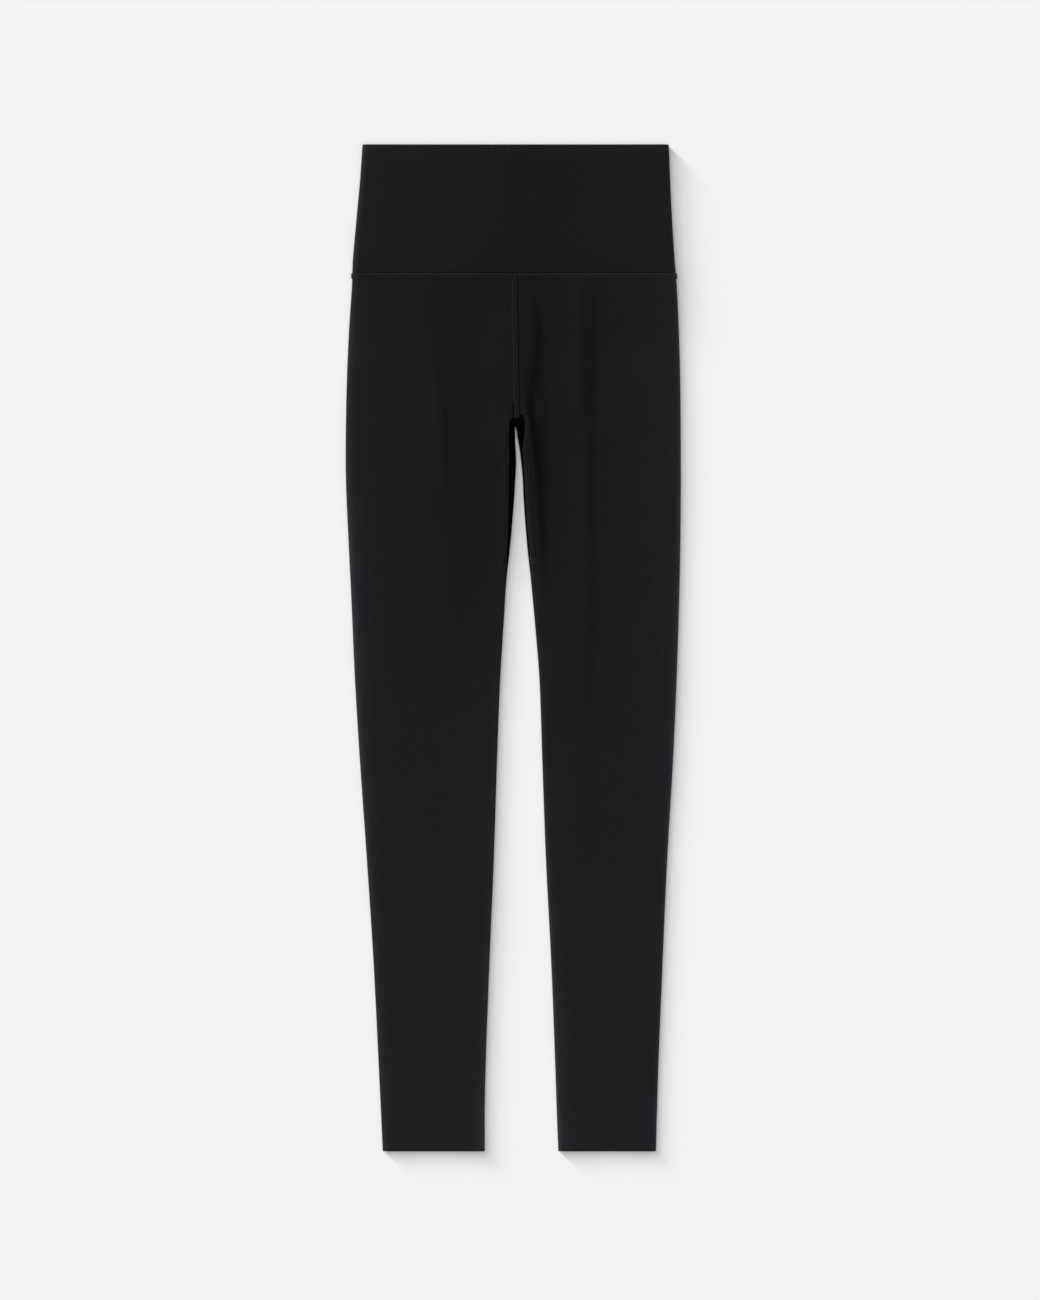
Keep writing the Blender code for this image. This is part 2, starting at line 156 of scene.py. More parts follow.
LENGTH = (cad_high.y - cad_low.y) / MM
BAND_HEIGHT = 124.4         # top fold to the waist seam
CLOTH = 0.85                # one layer of knit
BAND_MIDDLE = 4.5           # the four layers, away from the sides
BAND_SIDE = 5.0             # the same beside the side folds
BAND_FOLD_AT = 2.2          # height of the outermost line of a side fold
BAND_FOLD_OVER = 6.0        # how far in a side fold's rounding reaches on the front
BAND_FOLD_UNDER = 2.5       # the same on the back
SIDE_FADE = 48.0            # how far in from a fold the extra thickness reaches
TOP_FOLD = CLOTH + 0.15     # radius of the fold along the top edge
TOP_REACH = 12.0            # below the top fold, the knit that it keeps level and that carries its painted light
UNEVEN = 0.12               # how far the height of the lying cloth wanders
# The waves that it wanders in: share of each, its size across and lengthwise, and its seed
WAVES = ((1.0, 46.0, 78.0, 1.0), (0.35, 17.0, 30.0, 8.3))
WAIST_ROLL_DEPTH = 0.50     # how deep a sewn edge rolls down into the waist seam
WAIST_ROLL_REACH = 0.65
BAND_SEAM_ROWS = (0.0, 0.2, 0.4, 0.65, 0.95, 1.4, 2.2, 3.6, 5.6, 8.5, 12.0)     # above the waist seam
BAND_TOP_ROW = 4.0          # down, the last row before the fold along the top
BAND_OUTER_STEPS = 22
BAND_INNER_STEPS = 12
BAND_FRONT_STEPS = 110
BAND_BACK_STEPS = 60
FOLD_OVER_STEPS = 9         # across the rounding of a fold, on the front and on the back
FOLD_UNDER_STEPS = 6
TOP_FOLD_STEPS = 12
SHARP_ANGLE = 50.0          # degrees, past which an edge of the cloth is shaded sharp
WELD = 0.001                # points nearer than this are welded into one

KNIT_COLOUR = (0.0062, 0.0062, 0.0075)
KNIT_ROUGHNESS = 0.62
ROUGHNESS_SPREAD = 0.05
KNIT_SPECULAR = 0.075
WALE = 0.5                  # width of one column of stitches
COURSE = 0.42               # height of one stitch
LIMB_SLANT = 0.5            # how far a limb climbs to the edge of its column, in stitches
LIMB_CROWN = 0.22           # how much of a limb's height comes and goes along it
STITCH_HEIGHT = 0.1         # of the stitches over the gaps between them
STITCH_RELIEF = 0.5         # how strongly that shades
BLOTCH_SCALE = 22.0         # soft blotches of the dye, to the metre
BLOTCH_DEPTH = 0.20
FLECK_SCALE = 240.0         # fine flecks of the dye, to the metre
FLECK_DEPTH = 0.60
DYE_DETAIL = 4.0
GAP_SHADE = 0.35            # painted shade in the gaps between stitches

BAND_TONE = 0.89            # how light the band's knit is, before what follows
BAND_DEEP_X = 10.0          # where its painted shade is deepest
# Painted shade over the band's middle, and how far it reaches
BAND_SHADE = 0.19
BAND_DEEPER_REACH = 85.0
SEAM_SHADE = 0.13          # painted shade just above the front seam
SEAM_DEEPER_ACROSS = 42.0
SEAM_DEEPER_UP = 50.0
RIGHT_DEEPER = 0.055        # at the right side
RIGHT_SIDE = 150.0
TOP_PAINTED_LIGHT = 0.40            # painted light along the top fold
BAND_RIM_LIGHT = 0.30             # painted light near the side folds
RIM_REACHES = ((0.6, 3.5), (0.4, 13.0))     # share of a fold's painted light, and how far that share reaches
FOLD_LINE_REACH = 3.2       # painted light, paler still this near the very line of a fold
# how much that painted light lifts the colour on the very line of the band's right fold
BAND_FOLD_LIFT = 2.2

# Outer edges of the laid garment: down, left x, right x
SIDES = (
    (0.0, -146.2, 150.8),
    (35.0, -148.6, 152.1),
    (74.0, -152.2, 154.0),
    (114.0, -155.7, 156.6),
    (136.0, -156.4, 158.4),
    (180.0, -159.3, 160.5),
    (229.0, -161.4, 161.8),
    (277.0, -162.4, 162.3),
    (326.0, -162.3, 162.4),
    (384.0, -159.8, 162.0),
    (442.0, -157.0, 160.8),
    (520.0, -153.5, 158.3),
    (598.0, -148.7, 154.8),
    (695.0, -141.9, 149.1),
    (792.0, -135.6, 144.8),
    (889.0, -130.7, 140.8),
    (937.0, -128.4, 139.3),
    (976.0, -126.6, 138.3),
)


def along(table, down, column):
    """A column of a table at any distance down, on a smooth curve through its rows."""
    last = len(table) - 1
    row = 0
    while row < last - 1 and down > table[row + 1][0]:
        row += 1

    def slope(index):
        before = table[max(index - 1, 0)]
        after = table[min(index + 1, last)]
        return (after[column] - before[column]) / (after[0] - before[0])

    start, end = table[row], table[row + 1]
    span = end[0] - start[0]
    t = min(max((down - start[0]) / span, 0.0), 1.0)
    ease = t * t * (3 - 2 * t)
    bend = t * (1 - t) * ((1 - t) * slope(row) - t * slope(row + 1)) * span
    return start[column] + (end[column] - start[column]) * ease + bend


def fade(distance, reach):
    """1 at no distance, easing to 0 at the reach."""
    t = min(max(distance / reach, 0.0), 1.0)
    return 1 - t * t * (3 - 2 * t)


def bell(distance, reach):
    """1 at no distance, falling away smoothly on both sides, to 0.37 at the reach."""
    return math.exp(-((distance / reach) ** 2))


def between(start, end, share):
    return start + (end - start) * share


def spaced(start, end, spaces):
    """Places at equal spaces, from a start to an end."""
    return [between(start, end, step / spaces) for step in range(spaces + 1)]


def quarter(steps):
    """(cosine, sine) at equal steps of a quarter turn, from its start to its end."""
    turns = [math.pi / 2 * step / steps for step in range(steps + 1)]
    return [(math.cos(turn), math.sin(turn)) for turn in turns]


def place(x, down, z):
    """A point of the garment in metres."""
    return Vector((x * MM, (LENGTH / 2 - down) * MM, z * MM))


def beside(table, side, down):
    """The left or the right column of a table, at any distance down."""
    return along(table, down, 1 if side < 0 else 2)


def outer_x(side, down):
    return beside(SIDES, side, down)


def unevenness(x, down):
    """Slow hand-laid unevenness of the cloth, about -1 to 1."""
    return sum(
        share * noise.noise(Vector((x / across, down / lengthwise, seed)))
        for share, across, lengthwise, seed in WAVES
    )


def plug(tree, socket, value):
    """Link a socket to an output of another node, or set it to a plain value."""
    if isinstance(value, bpy.types.NodeSocket):
        tree.links.new(value, socket)
    else:
        socket.default_value = value


def math_node(tree, operation, *values):
    node = tree.nodes.new("ShaderNodeMath")
    node.operation = operation
    for socket, value in zip(node.inputs, values):
        plug(tree, socket, value)
    return node.outputs[0]


def new_group(name, inputs, output):
    """An empty node group, what comes into it and what goes out of it, each of a name and a kind."""
    group = bpy.data.node_groups.new(name, "ShaderNodeTree")
    for socket, kind in inputs:
        group.interface.new_socket(socket, in_out="INPUT", socket_type="NodeSocket" + kind)
    group.interface.new_socket(output[0], in_out="OUTPUT", socket_type="NodeSocket" + output[1])
    return group, group.nodes.new("NodeGroupInput").outputs, group.nodes.new("NodeGroupOutput").inputs


def knit_group():
    """The face of a fine jersey: columns of V-shaped stitches.

    Its vector is in metres on the cloth, with x across the columns.
    """
    inputs = (("Vector", "Vector"), ("Wale", "Float"), ("Course", "Float"))
    group, inside, outside = new_group("jersey_face", inputs, ("Height", "Float"))
    split = group.nodes.new("ShaderNodeSeparateXYZ")
    group.links.new(inside["Vector"], split.inputs[0])
    column = math_node(group, "DIVIDE", split.outputs["X"], inside["Wale"])
    stitch = math_node(group, "DIVIDE", split.outputs["Y"], inside["Course"])
    off_middle = math_node(group, "SUBTRACT", math_node(group, "FRACT", column), 0.5)
    from_middle = math_node(group, "MULTIPLY", math_node(group, "ABSOLUTE", off_middle), 2.0)
    limb = math_node(group, "SINE", math_node(group, "MULTIPLY", from_middle, math.pi))
    climb = math_node(group, "MULTIPLY_ADD", from_middle, LIMB_SLANT, stitch)
    loop = math_node(group, "SINE", math_node(group, "MULTIPLY", climb, 2 * math.pi))
    crown = math_node(group, "MULTIPLY_ADD", loop, LIMB_CROWN, 1 - LIMB_CROWN)
    group.links.new(math_node(group, "MULTIPLY", limb, crown), outside["Height"])
    return group


def tone_group():
    """A dyed colour with a tone of painted light and shade, soft blotches and fine flecks of the dye, and
    painted shade in the gaps between stitches.

    Each of the last three leaves the colour alone at a value of one half, and changes it either side of
    that by its depth.
    """
    values = ("Tone", "Stitch", "Blotch", "Blotch depth", "Fleck", "Fleck depth", "Gap shade")
    inputs = [("Color", "Color")] + [(value, "Float") for value in values]
    group, inside, outside = new_group("dye_and_painted_light", inputs, ("Color", "Color"))
    factor = inside["Tone"]
    for value, depth in (("Blotch", "Blotch depth"), ("Fleck", "Fleck depth"), ("Stitch", "Gap shade")):
        off_half = math_node(group, "SUBTRACT", inside[value], 0.5)
        change = math_node(group, "MULTIPLY_ADD", off_half, inside[depth], 1.0)
        factor = math_node(group, "MULTIPLY", factor, change)
    scale = group.nodes.new("ShaderNodeVectorMath")
    scale.operation = "SCALE"
    group.links.new(inside["Color"], scale.inputs[0])
    group.links.new(factor, scale.inputs["Scale"])
    group.links.new(scale.outputs["Vector"], outside["Color"])
    return group


jersey_face = knit_group()
dye_and_painted_light = tone_group()


def group_node(tree, group, values):
    """A group in a material's tree, with values or outputs for its named inputs."""
    node = tree.nodes.new("ShaderNodeGroup")
    node.node_tree = group
    for name, value in values.items():
        plug(tree, node.inputs[name], value)
    return node.outputs[0]


def noise_node(tree, scale, detail):
    """Noise of 0 to 1 over the places on an object, with a scale to the metre."""
    places = tree.nodes.new("ShaderNodeTexCoord")
    texture = tree.nodes.new("ShaderNodeTexNoise")
    texture.inputs["Scale"].default_value = scale
    texture.inputs["Detail"].default_value = detail
    tree.links.new(places.outputs["Object"], texture.inputs["Vector"])
    return texture.outputs["Fac"]


def surface(tree, shader, colour, height, relief, distance):
    """Give a shader its colour, and the relief of a height from 0 to 1."""
    tree.links.new(colour, shader.inputs["Base Color"])
    bump = tree.nodes.new("ShaderNodeBump")
    bump.inputs["Strength"].default_value = relief
    bump.inputs["Distance"].default_value = distance * MM
    tree.links.new(height, bump.inputs["Height"])
    tree.links.new(bump.outputs["Normal"], shader.inputs["Normal"])


def knit_material(name, colour, roughness, specular):
    """Fine matt stretch knit. It reads the cloth's own map and its tone of painted light and shade, which
    each piece carries.
    """
    material, shader = new_material(name, specular)
    tree = material.node_tree
    cloth_map = tree.nodes.new("ShaderNodeUVMap")
    cloth_map.uv_map = "cloth"
    painted_tone = tree.nodes.new("ShaderNodeAttribute")
    painted_tone.attribute_name = "tone"
    stitches = group_node(tree, jersey_face, {
        "Vector": cloth_map.outputs["UV"],
        "Wale": WALE * MM,
        "Course": COURSE * MM,
    })
    blotches = noise_node(tree, BLOTCH_SCALE, DYE_DETAIL)
    dyed = group_node(tree, dye_and_painted_light, {
        "Color": (*colour, 1.0),
        "Tone": painted_tone.outputs["Fac"],
        "Stitch": stitches,
        "Gap shade": GAP_SHADE,
        "Blotch": blotches,
        "Blotch depth": BLOTCH_DEPTH,
        "Fleck": noise_node(tree, FLECK_SCALE, DYE_DETAIL),
        "Fleck depth": FLECK_DEPTH,
    })
    surface(tree, shader, dyed, stitches, STITCH_RELIEF, STITCH_HEIGHT)
    rough = tree.nodes.new("ShaderNodeMapRange")
    rough.inputs["To Min"].default_value = roughness - ROUGHNESS_SPREAD
    rough.inputs["To Max"].default_value = roughness + ROUGHNESS_SPREAD
    tree.links.new(blotches, rough.inputs["Value"])
    tree.links.new(rough.outputs["Result"], shader.inputs["Roughness"])
    return material


def cloth_sheet(points, outside_up, closed=False):
    """One sheet of knit through rows of (place, map, tone of painted light and shade), with the outer face
    as given.

    It is a grid bent to those points. The map is in metres on the cloth, across it and along it.
    """
    rows, columns = len(points), len(points[0])
    mesh = bmesh.new()
    tone = mesh.verts.layers.float.new("tone")
    cloth_map = mesh.loops.layers.uv.new("cloth")
    bmesh.ops.create_grid(mesh, x_segments=columns - 1, y_segments=rows - 1, size=0.5)
    corner_map = {}
    for vert in mesh.verts:
        column = round((vert.co.x + 0.5) * (columns - 1))
        row = round((0.5 - vert.co.y) * (rows - 1))
        vert.co, corner_map[vert], vert[tone] = points[row][column]
    for face in mesh.faces:
        for loop in face.loops:
            loop[cloth_map].uv = corner_map[loop.vert]
    if not outside_up:
        bmesh.ops.reverse_faces(mesh, faces=mesh.faces)
    if closed:
        bmesh.ops.remove_doubles(mesh, verts=mesh.verts, dist=WELD * MM)
    return mesh


def add_cloth(name, mesh, material):
    """Give a sheet its thickness, inwards from its outer face, and make it a finished piece."""
    data = mesh_data(name, mesh, material)
    piece = add_object(name, data)
    wall = piece.modifiers.new("wall", "SOLIDIFY")
    wall.thickness = CLOTH * MM
    wall.offset = -1.0
    wall.use_even_offset = False
    evaluated = piece.evaluated_get(bpy.context.evaluated_depsgraph_get())
    piece.data = bpy.data.meshes.new_from_object(evaluated)
    piece.modifiers.clear()
    bpy.data.meshes.remove(data)
    piece.data.name = name
    piece.data.shade_smooth()
    piece.data.set_sharp_from_angle(angle=math.radians(SHARP_ANGLE))
    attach(piece, "root")
    return piece


def band_ring(inset, down):
    """(x, z) once round the waist, a distance in from the band's outer face, from its front left."""
    left, right = outer_x(-1, down), outer_x(1, down)
    front_left, front_right = left + BAND_FOLD_OVER, right - BAND_FOLD_OVER
    ring = []
    for x in spaced(front_left, front_right, BAND_FRONT_STEPS):
        swell = (BAND_SIDE - BAND_MIDDLE) * fade(min(x - front_left, front_right - x), SIDE_FADE)
        uneven = UNEVEN * unevenness(x, down) * (1 - fade(down, TOP_REACH))
        ring.append((x, BAND_MIDDLE + swell + uneven - inset))
    rise = ring[-1][1] + inset - BAND_FOLD_AT
    for side, edge in ((1, right), (-1, left)):
        fold = []
        for cosine, sine in quarter(FOLD_OVER_STEPS)[1:]:
            x = edge - side * (BAND_FOLD_OVER - (BAND_FOLD_OVER - inset) * sine)
            fold.append((x, BAND_FOLD_AT + (rise - inset) * cosine))
        for cosine, sine in quarter(FOLD_UNDER_STEPS)[1:-1]:
            x = edge - side * (BAND_FOLD_UNDER - (BAND_FOLD_UNDER - inset) * cosine)
            fold.append((x, BAND_FOLD_AT - (BAND_FOLD_AT - inset) * sine))
        if side > 0:
            back = spaced(right - BAND_FOLD_UNDER, left + BAND_FOLD_UNDER, BAND_BACK_STEPS)
            ring += fold + [(x, inset) for x in back]
        else:
            ring += reversed(fold)
    return ring + ring[:1]


def rim_light(distance):
    """The share of a fold's painted light that is left at a distance in from it."""
    return sum(share * math.exp(-distance / reach) for share, reach in RIM_REACHES)


def painted_fold_light(distance, lift):
    """Painted light: how much paler still the colour is on the very line of a fold, at a distance in from
    it.
    """
    return 1 + lift * bell(distance, FOLD_LINE_REACH)


def band_tone(x, down):
    """The band's tone: painted shade in its middle and just above the front seam, darker towards its right
    side, and painted light along the top fold and near the side folds.
    """
    edge = min(x - outer_x(-1, down), outer_x(1, down) - x)
    over_seam = bell(x - BAND_DEEP_X, SEAM_DEEPER_ACROSS) * fade(BAND_HEIGHT - down, SEAM_DEEPER_UP)
    tone = BAND_TONE - BAND_SHADE * bell(x - BAND_DEEP_X, BAND_DEEPER_REACH) - SEAM_SHADE * over_seam
    tone -= RIGHT_DEEPER * x / RIGHT_SIDE
    tone *= 1 + TOP_PAINTED_LIGHT * fade(down, TOP_REACH)
    return tone * (1 + BAND_RIM_LIGHT * rim_light(edge)) * (painted_fold_light(edge, BAND_FOLD_LIFT) if x > 0 else 1.0)


def band_profile():
    """(inset, down) along the strip, from the outer layer's raw edge over the top fold to the inner's."""
    outer_rows = [BAND_HEIGHT - row for row in BAND_SEAM_ROWS]
    outer_rows += spaced(outer_rows[-1], BAND_TOP_ROW, BAND_OUTER_STEPS)[1:]
    rows = [(WAIST_ROLL_DEPTH * fade(BAND_HEIGHT - down, WAIST_ROLL_REACH), down) for down in outer_rows]
    for turn in spaced(0.0, math.pi, TOP_FOLD_STEPS):
        rows.append((TOP_FOLD * (1 - math.cos(turn)), TOP_FOLD * (1 - math.sin(turn))))
    rows += [(2 * TOP_FOLD, down) for down in spaced(TOP_FOLD, BAND_HEIGHT, BAND_INNER_STEPS)[1:]]
    return rows


def lengths_along(spots):
    """How far each of some points lies along the line through them."""
    steps = numpy.linalg.norm(numpy.diff(spots, axis=0), axis=1)
    return numpy.concatenate(([0.0], numpy.cumsum(steps)))


def band_sheet():
    profile = band_profile()
    points = []
    for (inset, down), length in zip(profile, lengths_along(profile)):
        ring = band_ring(inset, down)
        points.append([
            (place(x, down, z), (across * MM, length * MM), band_tone(x, down))
            for (x, z), across in zip(ring, lengths_along(ring))
        ])
    return cloth_sheet(points, outside_up=False, closed=True)


band_knit = knit_material("band_knit", KNIT_COLOUR, KNIT_ROUGHNESS, KNIT_SPECULAR)
waistband = add_cloth("waistband_knit", band_sheet(), band_knit)
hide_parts("waistband")


# --- Leg panels ----------------------------------------------------------------------------------------
# One panel a leg, wrapped round the outside of the leg. Its edges meet in the centre front and centre back
# seams, at the gusset, and below that in the inseam. The hems are cut and bonded, with no stitching.

SEAM_GAP = 0.1              # between pieces that are sewn together
LEG_MIDDLE = 2.5            # two layers of a leg
LEG_SIDE = 3.5              # the same beside the outer fold, at the thigh
HEM_SIDE = 2.7              # the same at the hem
LEG_INSIDE = 3.0            # the same beside the inner fold
STEP_DOWN = 80.0            # how far below the waist seam the front sinks to the thickness of the leg
OUTER_FOLD_AT = 0.42        # height of a fold's outermost line, as a share of the thickness beside it
OUTER_FOLD_OVER = 7.0
OUTER_FOLD_UNDER = 2.0
INNER_FOLD_OVER = 4.5
INNER_FOLD_UNDER = 1.8
INNER_FADE = 40.0
INNER_START = 30.0          # above the crotch, where the extra thickness of the inner fold begins
INNER_GROWTH = 60.0         # how far below that it is all there
LEG_UNEVEN = 0.26           # how far the height of the lying cloth wanders on a leg
LEG_UNEVEN_START = 70.0     # below the waist seam, where it has grown to that from the band's
LEG_UNEVEN_END = 700.0      # down, where it begins to lessen again
LEG_UNEVEN_FADE = 500.0     # how far it takes to be gone, past the hems
CREST_REACH = 62.0          # how far to the left of the centre the lifted cloth reaches
CREST_TURN = 258.0          # down, where it leaves the centre seam for the inner fold
CREST_TURN_REACH = 50.0
CREST_IN = 5.0              # how far from that fold it then stays
NO_CREASES = 2.0            # this far in from an outer fold
BACK_NO_CREASES = 4.0       # on the back, this far in from a fold or a seam
CREASES_FORM = 14.0         # how far further in they take to form

ROLL_DEPTH = 0.36           # how deep a sewn edge rolls down into its seam
ROLL_REACH = 0.55
HEM_ROLL = 0.3              # the same of a hem's cut edge
HEM_ROLL_REACH = 1.2
SEAM_RAISE = 0.16           # of a flat stitched strip over the cloth beside it
WAIST_RAISE = 0.14          # the same of the strip under the waist seam
STRIP_PAINTED_LIGHT = 0.08          # painted light on a stitched strip
STRIP_EDGE = 0.4            # half the width of a strip's soft edge
STRIP_WIDTH = 5.6           # of the strips along the seams of the legs
STRIP_END = 20.0            # how far past the gusset's point these take to sink in
WAIST_STRIP = 5.6           # of the strip under the waist seam
WAIST_STRIP_PROUD = 1.0     # how far that strip stands out at the sides
OVERLAP_MIDDLE = 9.75       # x of the middle of the stretch where the waist strip's ends overlap
OVERLAP_HALF = 4.75
OVERLAP_RAISE = 0.05
CLOSING_DENTS = (0.1, 5.3, 19.0)    # x where the closing of the strip pulls it in
DENT_WIDTH = 1.3            # half the width of one of these dents
DENT_DEPTH = 0.22
# painted shade in these dents
DENT_SHADE = 0.3
NOTCH_IN = 5.8              # from the centre seam to a notch, beside the lower end of the seam's strip
NOTCH_DOWN = 259.0
NOTCH_LENGTH = 5.0          # half its length, and how far it fades past each end
NOTCH_WIDTH = 1.3
NOTCH_DEPTH = 0.50
# painted shade in the notch
NOTCH_SHADE = 0.9
LEFT_THIGH_STRIP = 0.2      # how much of the strip beside the gusset shows on the left thigh
LEFT_STRIP_START = 285.0    # down, where it begins to show there
LEFT_STRIP_GROWTH = 40.0
STITCH_ROWS = (2.1, 4.6)    # in from the edge of a leg's seam
WAIST_STITCH_ROWS = (1.8, 4.3)
FURROW_DEPTH = 0.16         # under a row of stitches
FURROW_WIDTH = 0.32
INSEAM_BACK = 2.2           # how far behind the fold the inseam lies
BACK_ASIDE = 0.5            # how far the centre back seam lies to the right of the centre front seam

# Columns of a leg's mesh: in from its front edge, in from its back edge, and how many lie between
STRIP_COLUMNS = (0.0, 0.2, 0.4, 0.6, 0.9, 1.2, 1.5, 1.8, 2.1, 2.4, 3.0, 3.7, 4.3, 4.6, 4.9, 5.2, 5.5,
                 5.8, 6.1, 6.5, 7.1, 8.0)
BACK_STRIP_COLUMNS = (6.5, 5.5, 5.0, 4.6, 4.2, 3.3, 2.5, 2.1, 1.7, 1.1, 0.6, 0.3, 0.0)
NEAR_MIDDLE = 6.0           # x of the middle of the part with close columns
NEAR_REACH = 36.0           # how far that reaches to each side
NEAR_COLUMNS = 26
FAR_COLUMNS = 44
BACK_COLUMNS = 34
# Steps of a leg's outline: along the front and the back, over and under the outer fold and the inner one
FRONT_STEPS = 129
BACK_STEPS = 80
OUTER_OVER_STEPS = 27
OUTER_UNDER_STEPS = 18
INNER_OVER_STEPS = 24
INNER_UNDER_STEPS = 18
FOLD_SKIP = 3               # the outer fold has a column at every third of its steps
ARCH_ROWS = 12
ARCH_EDGE = 0.1             # a row lies this close above each side's arch
SLOPE_REACH = 0.15          # how far to each side the cloth's slope is taken

# Inner edges of the legs: down, left x, right x
INSIDES = (
    (274.0, 1.6, 2.4),
    (287.0, 1.9, 4.7),
    (307.0, 2.7, 7.6),
    (326.0, 1.9, 9.2),
    (345.0, 0.7, 10.1),
    (384.0, -2.5, 13.0),
    (423.0, -6.7, 17.1),
    (462.0, -9.2, 20.8),
    (520.0, -12.8, 25.4),
    (598.0, -15.8, 28.1),
    (695.0, -19.0, 31.7),
    (792.0, -23.1, 36.7),
    (889.0, -26.7, 40.5),
    (937.0, -27.7, 42.1),
    (976.0, -27.6, 43.6),
)
INSEAM_TOP = INSIDES[0][0]

# The centre front seam, with the centre back seam under it: down, x
CENTRE = (
    (124.4, 4.3),
    (165.0, 4.4),
    (185.0, 4.8),
    (204.0, 5.3),
    (224.0, 5.5),
    (244.0, 6.1),
    (266.0, 6.6),
)

# The gusset's seams, which the edges of the legs follow. On the front they are a square-shouldered arch
# over the crotch, a little taller on the right, and run on down the inner thighs. On the back they are a
# long diamond.
ARCH_TOP = {-1: 265.0, 1: 262.2}
ARCH_POWER = {-1: 4.0, 1: 3.0}
ARCH_FEET = {-1: -3.4, 1: 11.3}
DIAMOND_TOP = 238.0
DIAMOND_REACH = 19.0
GUSSET_POINT = 1.6
GUSSET_FRONT = (            # down, how far it shows on the left and on the right thigh
    (274.0, 5.0, 8.9),
    (287.0, 5.8, 5.3),
    (297.0, 6.0, 2.9),
    (307.0, 6.2, 1.9),
    (326.0, 5.8, 1.6),
    (345.0, 4.8, 1.6),
    (372.0, 3.4, 1.6),
    (400.0, 1.6, 1.6),
)
GUSSET_END = GUSSET_FRONT[-1][0]
INSEAM_START = 426.0

